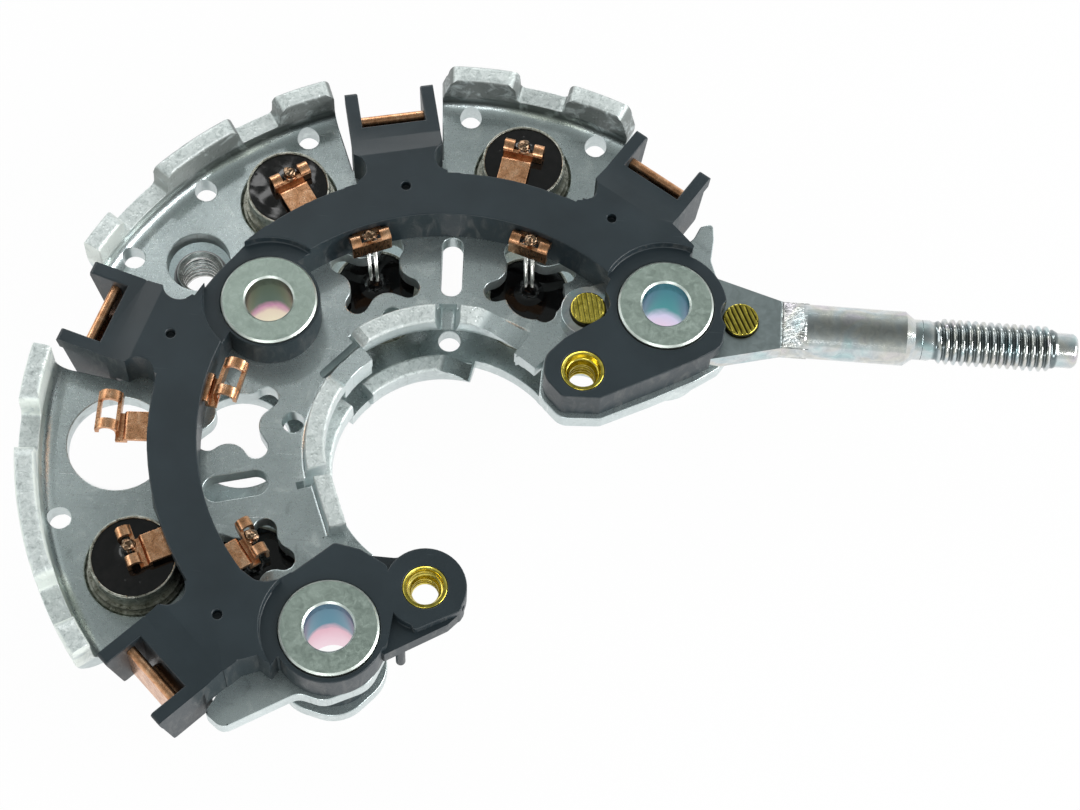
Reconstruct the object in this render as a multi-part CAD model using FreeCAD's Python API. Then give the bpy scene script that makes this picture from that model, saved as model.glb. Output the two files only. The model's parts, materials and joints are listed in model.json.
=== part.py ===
import FreeCAD, Part
import math
import os

V = FreeCAD.Vector
UP = V(0, 0, 1)

# All lengths are millimetres and all angles are degrees.
# The origin is the centre of the right mount bore on the seating plane.
# X runs out along the output stud and Z points up, away from the generator.

# Heights above the seating plane
LOWER_T = 2.3
SPACER_H = 4.9
UPPER_T = 2.5
LOWER_TOP = LOWER_T
UPPER_BOTTOM = LOWER_TOP + SPACER_H
UPPER_TOP = UPPER_BOTTOM + UPPER_T
BOSS_TOP = 14.85
ARC_TOP = 16.0
FORK_TOP = 15.4
FORK_BOTTOM = 5.6
COLLAR_TOP = 15.3
COLLAR_T = 2.0
SLEEVE_H = COLLAR_TOP - COLLAR_T
STRIP_Z = 14.0
STRIP_T = 0.6
OVER = 1.0               # how far a cutter runs past the face it opens
ABOVE = 20.0             # a height above every piece, for cutters that run through
BEYOND = 60.0            # a ring radius outside every piece, for the same use

# Centre of all arcs, and the three mount bores
RING = V(-26.75, -20.24, 0)
MOUNTS = {
    "right": V(0, 0, 0),
    "left": V(-50.29, -3.46, 0),
    "lower": V(-38.48, -46.62, 0),
}
BOSS_R = {"right": 7.9, "left": 6.5, "lower": 6.9}

# Mount hardware
SLEEVE_BORE_R = 3.03
SLEEVE_R = 4.0
SLEEVE_GAP = 0.1
SLEEVE_HOLE_R = SLEEVE_R + SLEEVE_GAP
COLLAR_R = 6.1
COLLAR_EDGE = 0.25
COLLAR_SEAT_R = COLLAR_R + SLEEVE_GAP
SPIGOT_R = 5.0
SPIGOT_GAP = 0.15
SPIGOT_HOLE_R = SPIGOT_R + SPIGOT_GAP
SPACER_R = 5.8

# Folded walls of the positive sheet
WALL_BEND_R = 2.0
WALL_FLAT_R = 48.4
WALL_R = WALL_FLAT_R + WALL_BEND_R
TOOTH_TOP = 16.0
LOW_TOP = 12.1
EDGE_R = 0.45
WALL_EDGE_R = 0.7
TOOTH_ROUND = 2.0
VALLEY_ROUND = 0.8
NOTCH_FLOOR_R = 42.0
NOTCH_HALF = 8.2
# Each wall: start and end of its base, then the valleys between its teeth
WALLS = [
    (65.6, 94.75, [(75.9, 83.8)]),
    (111.15, 154.8, [(119.6, 126.6), (139.6, 148.7)]),
    (171.2, 217.8, [(179.8, 186.5), (205.8, 212.7)]),
]
# Sloping ends of the outermost teeth: angle at the top, angle at the foot
TOOTH_ENDS = [(93.2, 94.9, 1), (111.3, 110.9, -1), (67.2, 65.5, -1)]
RELIEF_R = 1.45
OUTER_RELIEF_AT = 48.45
OUTER_RELIEFS = [69.97, 90.27, 116.26, 134.61, 150.44, 195.32]
INNER_RELIEFS = [(19.9, 113.7), (19.4, 172.7)]
INNER_RELIEF_R = 1.4
LOW_RELIEF_AT = 18.95

# Ends of the positive sheet: angle, and inner radius beyond the raised flanges
RIGHT_END = (49.4, 16.4)
LOWER_END = (234.2, 19.0)

# Raised inner flange of the positive sheet
FLANGE_BEND_R = 0.8
FLANGE_TOP = 12.6
FLANGE_ONE = (61.0, 132.0, 17.0)
FLANGE_TWO = (150.5, 197.5, 14.85)
NECK_TOP = 11.2
NECK_R = 15.1
NECK_T = 2.3
NECK_LAP = 0.5            # how far the raised neck runs into what it joins
NECK_LENS = (18.3, 139.6, 7.4, 1.3)
FLANGE_NOTCH_AT = 93.0
CHORD_A = V(-40.02, -26.41, 0)
CHORD_B = V(-37.72, -32.25, 0)
CHORD_T = 2.2

# Holes of the positive sheet
# Cross openings: lean and reach of the outer and of the inner arms, corner radius
CROSS_R = 26.4
CROSS_ARM_HALF = 1.45
CROSS_ARMS = (48.5, 6.1, 48.5, 6.1, 2.5)
FAR_CROSS_R = 27.4
FAR_CROSS_ARMS = (48.5, 6.1, 37.0, 5.2, 2.0)
LEAD_NOTCH = (25.4, 66.8, 3.9)
SLOTS = [(92.2, 21.9, 30.3, 2.8), (194.8, 22.3, 30.5, 3.4)]
SEAT_R = 6.35
DIODE_R = 40.9
EMPTY_SEAT = 183.04
BUSH = V(-60.46, 3.84, 0)
BUSH_HOLE_R = 4.1
BUSH_R = 3.9
BUSH_TOP = 6.8
BUSH_TOP_R = 3.4
BUSH_CHAMFER = 0.5
BUSH_SHOULDER = LOWER_TOP + 0.6
BUSH_BORE_R = 2.5

# Raised inner flange of the negative sheet
LOW_FLANGE_TOP = 5.3
LOW_FLANGE_BEND_R = 0.6
LOW_FLANGE_R = 13.4
LOW_FLANGE_SPAN = (80.0, 137.0)
LOW_FLANGE_TWO = (149.5, 199.0)
LOW_FLANGE_STEP = 0.8       # the second flange stands this far outside the first
# Flat ends of the negative sheet: angle and inner radius
LOW_RIGHT_END = (44.0, 16.6)
LOW_LOWER_END = (236.0, 14.2)
LOW_RIM = 1.2             # metal outside the diode seats of the lower sheet
LOW_OUTER_R = CROSS_R + SEAT_R + LOW_RIM

# Terminal block
ARC_IN = 30.5
ARC_OUT = 36.6
ARC_SPAN = (42.0, 240.0)
RIGHT_STEP = (41.5, 24.0, 44.0)   # angle and radii where the arc steps down to the boss
STEP_R = 8.4
FORKS = [57.6, 102.95, 163.0, 226.1]
FORK_HALF = 5.85
FORK_GAP = 4.15
FORK_BASE_R = NOTCH_FLOOR_R + 2.7
FORK_TIP_R = NOTCH_FLOOR_R + 8.1
FORK_TIP_IN = 1.7
LIP_H = 2.2
LIP_OVER = 0.35
LIP_START = 0.5
SCALLOP_R = 2.2
SCALLOP_AT = 38.5
NECK_HALF = 4.55
RAMP_IN = 40.25
RAMP_OUT = 42.75
PIN_MARKS = [(37.0, 58.8), (35.0, 102.6), (36.8, 163.2), (36.2, 226.0)]
PIN_MARK_R = 0.6

# Threaded inserts for the regulator screws
INSERTS = {"upper": V(-10.03, -9.96, 0), "lower": V(-27.39, -40.44, 0)}
INSERT_R = 2.75
INSERT_BORE_R = 1.65
LUG_RING_R = 5.1
LUG_BODY_H = 2.5
LUG_RING_H = 1.3
INSERT_H = LUG_BODY_H + LUG_RING_H
UPPER_INSERT_H = 5.0
INSERT_MOUTH_R = 2.25
INSERT_STEP_R = 2.0
INSERT_CONE = 0.35
INSERT_CHAMFER = 0.3
UPPER_STEP = 1.6           # depth of the wide mouth of each insert
LOWER_STEP = 1.4
SCREW_GAP = 1.6
LOCATING_PEG = V(-29.9, -46.9, 0)
LOCATING_PEG_R = 0.6
LOCATING_PEG_FOOT = 5.3

# Output stud
STUD_Y = -0.35
BLADE_T = 2.8
BLADE_R = 7.3
BLADE_EYE_R = 3.5
RIVET_X = 9.8
RIVET_R = 2.3
RIVET_PROUD = 0.75
RIVET_GAP = 0.35
RIVET_HEAD = 0.9
RIVET_HEAD_H = 0.6
SHANK_R = 3.5
SHANK_START = 15.2
SHANK_FULL = 17.9          # where the forged slope reaches the full shank
SHANK_END = 31.0
SHANK_TAPER = 1.2
NECK_END = 34.1
NECK_SHANK_R = 2.6
THREAD_END = 50.6
THREAD_R = 2.95
TIP_R = 2.25
TIP_END = 53.2

# Diodes
CUP_BITE = 0.02
CUP_BASE_R = SEAT_R + CUP_BITE
CUP_BASE_H = 2.2
CUP_LEAD_IN = 0.3
CUP_RING_R = 5.8
CUP_RING_H = 3.3
CUP_WALL_R = 5.4
CUP_H = 6.3
CUP_WALL = 0.32
CUP_LIP = 0.12
CUP_FLOOR = 2.8
POTTING_DROP = 0.3
CHIP_R = 2.4
CHIP_H = 0.5
LEAD_R = 0.55
LEAD_BEND = 1.2
LEAD_UPPER_BEND = 12.6
BLOB_R = 0.85
BLOB_Z = 0.55             # heights of the solder and of the lead's end above the strip
LEAD_TOP = 1.5
CUP_GAP = 0.45
STRIP_GAP = 0.15
CRIMP_FOOT = 12.1

# Copper terminals: fork, outer hook, inner hook, and whether the hooks are closed on a lead.
# Each hook has its angle, its place outside the circle of its diodes, and its tab's angle.
TERMINALS = {
    "1": (57.6, (80.2, 1.4, 81.0), (72.3, 2.9, 72.0), True),
    "2": (102.95, (123.0, 1.0, 123.6), (113.4, 2.9, 113.6), True),
    "3": (163.0, (180.1, 0.8, 182.5), (168.4, 1.3, 171.7), False),
    "4": (226.1, (205.6, 0.1, 207.0), (214.6, 0.6, 216.6), True),
}
# Diodes: angle and radius on the ring, and the terminal that holds the lead
POSITIVE = [(79.8, DIODE_R, "1"), (124.1, DIODE_R, "2"), (207.0, DIODE_R, "4")]
EARTHED = [(69.5, CROSS_R, "1"), (114.3, CROSS_R, "2"), (215.4, FAR_CROSS_R, "4")]
EMPTY_EARTH = 174.8
TAB_HALF = 1.9
RISER_HALF = 2.5
TRACK_IN = 32.7
TRACK_OUT = 34.3
COPPER_T = 0.5
# Hooks of the terminals
CLOSED_HOOK_R = 1.0
OPEN_HOOK_R = 1.5
CLOSED_HOOK_RISE = 0.35
OPEN_HOOK_RISE = 0.2
HOOK_FOOT = 0.35            # how far a hook's foot hangs below the strip
HOOK_SIDE = 0.75            # height of a hook's side walls above the strip's underside
HOOK_LENGTH = 5.2
HOOK_BAND = 1.3
VALLEY = 0.5
VALLEY_FLOOR_OUT = 13.35
VALLEY_FLOOR_IN = 12.7
TAB_ROLL_R = 0.6
TAB_LEAST = 0.3
HAIRPIN_R = NOTCH_FLOOR_R + 4.4
HAIRPIN_HALF = 0.65
HAIRPIN_TOP = 14.2
HAIRPIN_FOOT = 6.4
WEB_Z = 8.0
RISER_R = NOTCH_FLOOR_R + 1.3


def positive_seats():
    return [(radius, angle) for angle, radius, hook in POSITIVE] + [(DIODE_R, EMPTY_SEAT)]


def earth_seats():
    return [(radius, angle) for angle, radius, hook in EARTHED] + [(CROSS_R, EMPTY_EARTH)]


def on_ring(radius, angle, z=0.0):
    a = math.radians(angle)
    return RING + V(radius * math.cos(a), radius * math.sin(a), z)


def rounded_wire(points, z=0.0):
    """Closed wire through (x, y) or (x, y, corner radius) points."""
    rows = [tuple(p) + (0.0,) * (3 - len(p)) for p in points]
    corners = [V(p[0], p[1], z) for p in rows]
    spans = []
    for i, here in enumerate(corners):
        radius = rows[i][2]
        before = corners[i - 1] - here
        after = corners[(i + 1) % len(corners)] - here
        if radius <= 0:
            spans.append((here, None, here))
            continue
        half = before.getAngle(after) / 2
        before.normalize()
        after.normalize()
        setback = radius / math.tan(half)
        middle = (before + after).normalize()
        centre = here + middle * (radius / math.sin(half))
        spans.append((here + before * setback, centre - middle * radius, here + after * setback))
    edges = []
    for i, (first, mid, last) in enumerate(spans):
        if mid is not None:
            edges.append(Part.Arc(first, mid, last).toShape())
        onward = spans[(i + 1) % len(spans)][0]
        if (onward - last).Length > 1e-5:
            edges.append(Part.makeLine(last, onward))
    return Part.Wire(edges)


def plate(points, z0, z1):
    return Part.Face(rounded_wire(points, z0)).extrude(UP * (z1 - z0))


def post(centre, radius, z0, z1):
    return Part.makeCylinder(radius, z1 - z0, V(centre.x, centre.y, z0))


def placed(shape, origin, x_dir, y_dir):
    turn = FreeCAD.Rotation(x_dir, y_dir, x_dir.cross(y_dir), "XYZ")
    shape.Placement = FreeCAD.Placement(origin, turn)
    return shape


def at_angle(shape, angle):
    """Turn a shape drawn along local X, with X = ring radius, to its angle."""
    shape.Placement = FreeCAD.Placement(RING, FreeCAD.Rotation(UP, angle))
    return shape


def spun(profile, start, end):
    """Revolve a (radius, z) profile about the ring axis."""
    a = math.radians(start)
    wire = placed(rounded_wire(profile), RING, V(math.cos(a), math.sin(a), 0), UP)
    return Part.Face(wire).revolve(RING, UP, end - start)


def sector(r0, r1, start, end, z0, z1):
    return spun([(r0, z0), (r1, z0), (r1, z1), (r0, z1)], start, end)


def facing(profile, angle, r0, r1):
    """Extrude a (tangential, z) profile outwards along the radius."""
    a = math.radians(angle)
    tangent = V(-math.sin(a), math.cos(a), 0)
    radial = V(math.cos(a), math.sin(a), 0)
    wire = placed(rounded_wire(profile), on_ring(r0, angle), tangent, UP)
    return Part.Face(wire).extrude(radial * (r1 - r0))


def box(x0, x1, y0, y1, z0, z1):
    return Part.makeBox(x1 - x0, y1 - y0, z1 - z0, V(x0, y0, z0))


def side(points, half, offset=0.0):
    """Extrude an (x, z) profile along local Y, centred on the offset."""
    wire = placed(rounded_wire(points), V(0, offset + half, 0), V(1, 0, 0), UP)
    return Part.Face(wire).extrude(V(0, -2 * half, 0))


def joined(shapes):
    return shapes[0].fuse(shapes[1:]).removeSplitter()


def turned(profile, centre):
    """Revolve an (r, z) profile about a vertical axis at the centre."""
    wire = placed(rounded_wire(profile), V(centre.x, centre.y, 0), V(1, 0, 0), UP)
    return Part.Face(wire).revolve(V(centre.x, centre.y, 0), UP, 360)


def flange(inner_r, bend_r, t, z0, top, start, end):
    """Inner edge of a sheet, folded upwards."""
    flat_r = inner_r + t + bend_r
    profile = [
        (flat_r + OVER, z0),
        (inner_r, z0, t + bend_r),
        (inner_r, top, EDGE_R),
        (flat_r - bend_r, top, EDGE_R),
        (flat_r - bend_r, z0 + t, bend_r),
        (flat_r + OVER, z0 + t),
    ]
    return spun(profile, start, end)


def outer_wall(start, end):
    outside = WALL_R + UPPER_T
    profile = [
        (WALL_FLAT_R - OVER, UPPER_BOTTOM),
        (outside, UPPER_BOTTOM, UPPER_T + WALL_BEND_R),
        (outside, TOOTH_TOP, WALL_EDGE_R),
        (WALL_R, TOOTH_TOP, WALL_EDGE_R),
        (WALL_R, UPPER_TOP, WALL_BEND_R),
        (WALL_FLAT_R - OVER, UPPER_TOP),
    ]
    return spun(profile, start, end)


def valley(start, end):
    """Cutter for the low stretch between two teeth."""
    wide = math.radians(end - start) * WALL_R / 2
    brim = wide + 2 * TOOTH_ROUND
    above = TOOTH_TOP + OVER
    profile = [
        (-brim, above),
        (-brim, TOOTH_TOP),
        (-wide, TOOTH_TOP, TOOTH_ROUND),
        (-wide + 0.3, LOW_TOP, VALLEY_ROUND),
        (wide - 0.3, LOW_TOP, VALLEY_ROUND),
        (wide, TOOTH_TOP, TOOTH_ROUND),
        (brim, TOOTH_TOP),
        (brim, above),
    ]
    return facing(profile, (start + end) / 2, WALL_R - OVER, WALL_R + UPPER_T + OVER)


def tooth_end(top_angle, foot_angle, way):
    """Cutter that slopes and rounds the free end of an outermost tooth."""
    shift = math.radians(foot_angle - top_angle) * WALL_R
    profile = [
        (-way * 2 * TOOTH_ROUND, TOOTH_TOP),
        (0, TOOTH_TOP, TOOTH_ROUND),
        (shift, UPPER_TOP + 1.2),
        (shift + way * 4, UPPER_TOP + 1.2),
        (shift + way * 4, TOOTH_TOP + OVER),
        (-way * 2 * TOOTH_ROUND, TOOTH_TOP + OVER),
    ]
    return facing(profile, top_angle, WALL_R - OVER, WALL_R + UPPER_T + OVER)


def cross_hole(radius, angle, z0, z1):
    """Four-armed opening over an earthed diode, with soft inner corners."""
    arms = CROSS_ARMS if radius == CROSS_R else FAR_CROSS_ARMS
    lean, reach_out, lean_in, reach_in, fillet = arms
    dirs = [lean, 180 - lean_in, 180 + lean_in, 360 - lean]
    reaches = [reach_out, reach_in, reach_in, reach_out]
    points = []
    for i, here in enumerate(dirs):
        after = dirs[(i + 1) % 4] + (360 if i == 3 else 0)
        u = V(math.cos(math.radians(here)), math.sin(math.radians(here)), 0)
        w = V(-u.y, u.x, 0)
        for way in (-1, 1):
            tip = u * reaches[i] + w * (way * CROSS_ARM_HALF)
            points.append((radius + tip.x, tip.y, CROSS_ARM_HALF * 0.98))
        half = math.radians((after - here) / 2)
        corner = CROSS_ARM_HALF / math.sin(half)
        turn = math.radians((here + after) / 2)
        points.append((radius + corner * math.cos(turn), corner * math.sin(turn), fillet))
    return at_angle(plate(points, z0, z1), angle)


def slot_hole(angle, r0, r1, width, z0, z1):
    half = width / 2
    points = [(r0, -half, half * 0.98), (r1, -half, half * 0.98)]
    points += [(r1, half, half * 0.98), (r0, half, half * 0.98)]
    return at_angle(plate(points, z0, z1), angle)


def positive_sheet():
    z0, z1 = UPPER_BOTTOM, UPPER_TOP
    one_flat = FLANGE_ONE[2] + UPPER_T + FLANGE_BEND_R
    two_flat = FLANGE_TWO[2] + UPPER_T + FLANGE_BEND_R
    body = [
        sector(one_flat, NOTCH_FLOOR_R, FLANGE_ONE[0], FLANGE_ONE[1], z0, z1),
        sector(RIGHT_END[1], NOTCH_FLOOR_R, RIGHT_END[0], FLANGE_ONE[0], z0, z1),
        sector(NECK_R, NOTCH_FLOOR_R, FLANGE_ONE[1], FLANGE_TWO[0], z0, z1),
        sector(two_flat, NOTCH_FLOOR_R, FLANGE_TWO[0], FLANGE_TWO[1], z0, z1),
        sector(LOWER_END[1], NOTCH_FLOOR_R, FLANGE_TWO[1], LOWER_END[0], z0, z1),
        flange(FLANGE_ONE[2], FLANGE_BEND_R, UPPER_T, z0, FLANGE_TOP, *FLANGE_ONE[:2]),
        flange(FLANGE_TWO[2], FLANGE_BEND_R, UPPER_T, z0, FLANGE_TOP, *FLANGE_TWO[:2]),
        sector(NECK_R, NECK_R + NECK_T, FLANGE_ONE[1] - NECK_LAP, FLANGE_TWO[0] + NECK_LAP,
               z1 - NECK_LAP, NECK_TOP),
    ]
    for start, end, valleys in WALLS:
        wall = outer_wall(start, end)
        for low in valleys:
            wall = wall.cut(valley(*low))
        body.append(sector(NOTCH_FLOOR_R - OVER, WALL_FLAT_R, start, end, z0, z1))
        body.append(wall)
    right_lobe = [
        (-18.6, -6.4), (-16.2, -5.6, 1.0), (-14.7, -5.0, 0.8), (-15.2, -8.0, 3.0),
        (-15.3, -11.6, 2.6), (-12.4, -14.5, 2.4), (-7.3, -14.2, 2.0), (-1.0, -11.0),
        (4.6, -7.9, 3.0), (7.5, -5.8, 2.0), (8.8, -3.6, 1.0), (13.0, -3.2, 1.2),
        (13.0, 2.5, 1.2), (8.6, 3.1, 1.5), (7.0, 6.4, 2.5), (5.9, 9.6, 1.0),
        (6.15, 12.7), (5.95, 15.1, 0.5), (4.3, 14.5, 0.7), (3.4, 12.4, 2.0),
        (0.7, 11.0), (-12.0, 5.0),
    ]
    lower_lobe = [
        (-44.0, -42.0), (-51.4, -54.3), (-52.7, -56.7, 0.6), (-50.4, -58.5, 1.6),
        (-41.8, -53.4, 2.0), (-38.5, -54.2, 3.0), (-33.2, -51.6, 4.0), (-31.3, -46.6, 4.5),
        (-32.6, -39.4, 3.0), (-37.2, -35.6, 1.0), (-37.9, -32.6), (-39.6, -30.4),
    ]
    body.append(plate(right_lobe, z0, z1))
    body.append(plate(lower_lobe, z0, z1))
    along = (CHORD_B - CHORD_A).normalize()
    out = V(-along.y, along.x, 0) * -1
    if out.dot(CHORD_A - RING) < 0:
        out = out * -1
    chord_flat = CHORD_T + FLANGE_BEND_R
    profile = [
        (chord_flat + 2.5, z0), (0, z0, UPPER_T + FLANGE_BEND_R - 0.4),
        (0, FLANGE_TOP, EDGE_R), (CHORD_T, FLANGE_TOP, EDGE_R),
        (CHORD_T, z1, FLANGE_BEND_R), (chord_flat + 2.5, z1),
    ]
    start = CHORD_A - along * 1.2
    wire = placed(rounded_wire(profile), start, out, UP)
    chord = Part.Face(wire).extrude(along * ((CHORD_B - CHORD_A).Length + 0.8))
    body.append(chord)
    sheet = joined(body)
    cuts = [tooth_end(*end) for end in TOOTH_ENDS]
    for angle in FORKS:
        half = math.radians(NOTCH_HALF)
        points = [
            (NOTCH_FLOOR_R, -NOTCH_FLOOR_R * math.tan(half), 0.8),
            (BEYOND, -BEYOND * math.tan(half)),
            (BEYOND, BEYOND * math.tan(half)),
            (NOTCH_FLOOR_R, NOTCH_FLOOR_R * math.tan(half), 0.8),
        ]
        cuts.append(at_angle(plate(points, z0 - OVER, z1 + 8), angle))
    cuts += [
        post(on_ring(OUTER_RELIEF_AT, a), RELIEF_R, z0 - OVER, z1 + OVER) for a in OUTER_RELIEFS
    ]
    cuts += [post(on_ring(r, a), INNER_RELIEF_R, z0 - OVER, z1 + OVER) for r, a in INNER_RELIEFS]
    cuts += [cross_hole(r, a, z0 - OVER, z1 + OVER) for r, a in earth_seats()]
    cuts.append(post(on_ring(*LEAD_NOTCH[:2]), LEAD_NOTCH[2], z0 - OVER, z1 + OVER))
    cuts += [slot_hole(a, r0, r1, w, z0 - OVER, z1 + OVER) for a, r0, r1, w in SLOTS]
    cuts += [post(on_ring(r, a), SEAT_R, z0 - OVER, z1 + OVER) for r, a in positive_seats()]
    cuts += [post(m, SPIGOT_HOLE_R, z0 - OVER, z1 + OVER) for m in MOUNTS.values()]
    cuts.append(post(BUSH, BUSH_HOLE_R, z0 - OVER, z1 + OVER))
    cuts.append(post(INSERTS["upper"], INSERT_BORE_R + SCREW_GAP, z0 - OVER, z1 + OVER))
    cuts += [post(V(way * RIVET_X, STUD_Y, 0), RIVET_R, z0 - OVER, z1 + OVER) for way in (-1, 1)]
    notch = [
        (-1.9, FLANGE_TOP + OVER), (-1.7, FLANGE_TOP, 0.4), (-0.95, UPPER_BOTTOM + 1.4, 0.6),
        (0.95, UPPER_BOTTOM + 1.4, 0.6), (1.7, FLANGE_TOP, 0.4), (1.9, FLANGE_TOP + OVER),
    ]
    cuts.append(facing(notch, FLANGE_NOTCH_AT, FLANGE_ONE[2] - OVER, FLANGE_ONE[2] + UPPER_T + 1.2))
    right_ramp = [
        (0, UPPER_TOP + 0.1), (9.5, FLANGE_TOP + 1.1), (-6, FLANGE_TOP + 1.2), (-6, UPPER_TOP),
    ]
    cuts.append(facing(right_ramp, FLANGE_ONE[0] + 1.5, FLANGE_ONE[2] - 3, FLANGE_ONE[2] + 4))
    for angle, way in ((FLANGE_ONE[1], 1), (FLANGE_TWO[0], -1)):
        ramp = [
            (-way * 1.2, FLANGE_TOP + OVER), (-way * 1.2, FLANGE_TOP, 0.5),
            (way * 0.3, NECK_TOP), (way * 3, NECK_TOP), (way * 3, FLANGE_TOP + OVER),
        ]
        cuts.append(facing(ramp, angle, NECK_R - 2, FLANGE_ONE[2] + 4))
    r, a, length, width = NECK_LENS
    lens = [(r - width / 2, -length / 2, 0.6), (r + width / 2, -length / 2, 0.6)]
    lens += [(r + width / 2, length / 2, 0.6), (r - width / 2, length / 2, 0.6)]
    cuts.append(at_angle(plate(lens, z0 - OVER, z1 + OVER), a))
    vee = [(12.5, -1.2), (18.0, -0.45, 0.4), (18.0, 0.45, 0.4), (12.5, 1.2)]
    cuts.append(at_angle(plate(vee, z0 - OVER, FLANGE_TOP + OVER), 198.3))
    return sheet.cut(cuts).removeSplitter()


def negative_sheet():
    z0, z1 = 0.0, LOWER_TOP
    flat_r = LOW_FLANGE_R + LOWER_T + LOW_FLANGE_BEND_R
    body = [
        sector(flat_r, LOW_OUTER_R, LOW_FLANGE_SPAN[0], LOW_FLANGE_TWO[1], z0, z1),
        sector(LOW_RIGHT_END[1], LOW_OUTER_R, LOW_RIGHT_END[0], LOW_FLANGE_SPAN[0], z0, z1),
        sector(LOW_LOWER_END[1], LOW_OUTER_R, LOW_FLANGE_TWO[1], LOW_LOWER_END[0], z0, z1),
        sector(LOW_LOWER_END[1], flat_r + OVER, LOW_FLANGE_SPAN[1] - OVER, LOW_FLANGE_TWO[0] + OVER,
               z0, z1),
        flange(LOW_FLANGE_R, LOW_FLANGE_BEND_R, LOWER_T, z0, LOW_FLANGE_TOP, *LOW_FLANGE_SPAN),
        flange(LOW_FLANGE_R + LOW_FLANGE_STEP, LOW_FLANGE_BEND_R, LOWER_T, z0, LOW_FLANGE_TOP,
               *LOW_FLANGE_TWO),
    ]
    right_lobe = [
        (-14.3, -8.6), (-13.6, -8.9, 1.5), (-4.5, -6.0, 6.0), (-1.5, -6.8, 2.0), (3.6, -6.5, 5.0),
        (6.9, -1.5, 5.0), (5.2, 5.2, 5.0), (-1.0, 7.2, 6.0), (-8.0, 8.0),
    ]
    lower_lobe = [
        (-46.5, -42.0), (-46.2, -46.5, 4.0), (-43.6, -52.4, 5.0), (-36.5, -54.2, 5.0),
        (-31.4, -48.5, 5.0), (-32.4, -41.0, 4.0), (-35.0, -33.0), (-40.0, -33.0),
    ]
    out_dir = (BUSH - RING).normalize()
    across = V(-out_dir.y, out_dir.x, 0)
    root = BUSH - out_dir * 12
    lobe = [
        root + across * 8.5, root - across * 8.5,
        BUSH - across * 6.9 + out_dir * 6.9, BUSH + across * 6.9 + out_dir * 6.9,
    ]
    lobe_points = [(lobe[0].x, lobe[0].y), (lobe[1].x, lobe[1].y)]
    lobe_points += [(lobe[2].x, lobe[2].y, 6.5), (lobe[3].x, lobe[3].y, 6.5)]
    body += [plate(right_lobe, z0, z1), plate(lower_lobe, z0, z1), plate(lobe_points, z0, z1)]
    far_seats = [seat for seat in earth_seats() if seat[0] > CROSS_R]
    body += [post(on_ring(r, a), SEAT_R + LOW_RIM, z0, z1) for r, a in far_seats]
    sheet = joined(body)
    cuts = [post(on_ring(r, a), SEAT_R, z0 - OVER, z1 + OVER) for r, a in earth_seats()]
    cuts += [post(m, SLEEVE_HOLE_R, z0 - OVER, z1 + OVER) for m in MOUNTS.values()]
    cuts.append(post(BUSH, BUSH_R, z0 - OVER, z1 + OVER))
    angle, start, end, width = SLOTS[0]
    cuts.append(slot_hole(angle, start, LOW_OUTER_R + width, width, z0 - OVER, z1 + OVER))
    cuts.append(post(on_ring(LOW_RELIEF_AT, angle), RELIEF_R, z0 - OVER, z1 + OVER))
    above = LOW_FLANGE_TOP + OVER
    ramp = [(0, z1 + 0.1), (5.5, above), (-4, above), (-4, z1 + 0.1)]
    cuts.append(facing(ramp, LOW_FLANGE_SPAN[0] + 1.0, LOW_FLANGE_R - 3, flat_r + 0.1))
    return sheet.cut(cuts).removeSplitter()


def fork_solid(scallops):
    profile = [
        (ARC_OUT - 2, UPPER_TOP), (ARC_OUT - 2, ARC_TOP), (RAMP_IN, ARC_TOP), (RAMP_OUT, FORK_TOP),
        (FORK_TIP_R, FORK_TOP, 0.5), (FORK_TIP_R - FORK_TIP_IN, FORK_BOTTOM, 0.5),
        (NOTCH_FLOOR_R + 0.4, FORK_BOTTOM), (NOTCH_FLOOR_R + 0.4, UPPER_TOP),
    ]
    body = side(profile, FORK_HALF)
    cuts = [box(FORK_BASE_R, BEYOND, -FORK_GAP, FORK_GAP, 0, ABOVE)]
    for way in (-1, 1):
        inner = way * (FORK_HALF - LIP_OVER)
        outer = way * (FORK_HALF + 2)
        low, high = min(inner, outer), max(inner, outer)
        cuts.append(box(RAMP_OUT + LIP_START, BEYOND, low, high, 0, FORK_TOP - LIP_H))
    for way in scallops:
        cuts.append(post(V(SCALLOP_AT, way * (NECK_HALF + SCALLOP_R), 0), SCALLOP_R, 0, ABOVE))
    return body.cut(cuts)


def arch(centre_r, outer, thickness, y0, y1, foot_in, foot_out, top):
    """Strip bent over a tangential axis, like half a tube with legs."""
    profile = [
        (centre_r - outer, foot_in), (centre_r - outer, top, outer * 0.98),
        (centre_r + outer, top, outer * 0.98), (centre_r + outer, foot_out),
        (centre_r + outer - thickness, foot_out),
        (centre_r + outer - thickness, top - thickness, (outer - thickness) * 0.98),
        (centre_r - outer + thickness, top - thickness, (outer - thickness) * 0.98),
        (centre_r - outer + thickness, foot_in),
    ]
    return side(profile, (y1 - y0) / 2, (y0 + y1) / 2)


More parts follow.
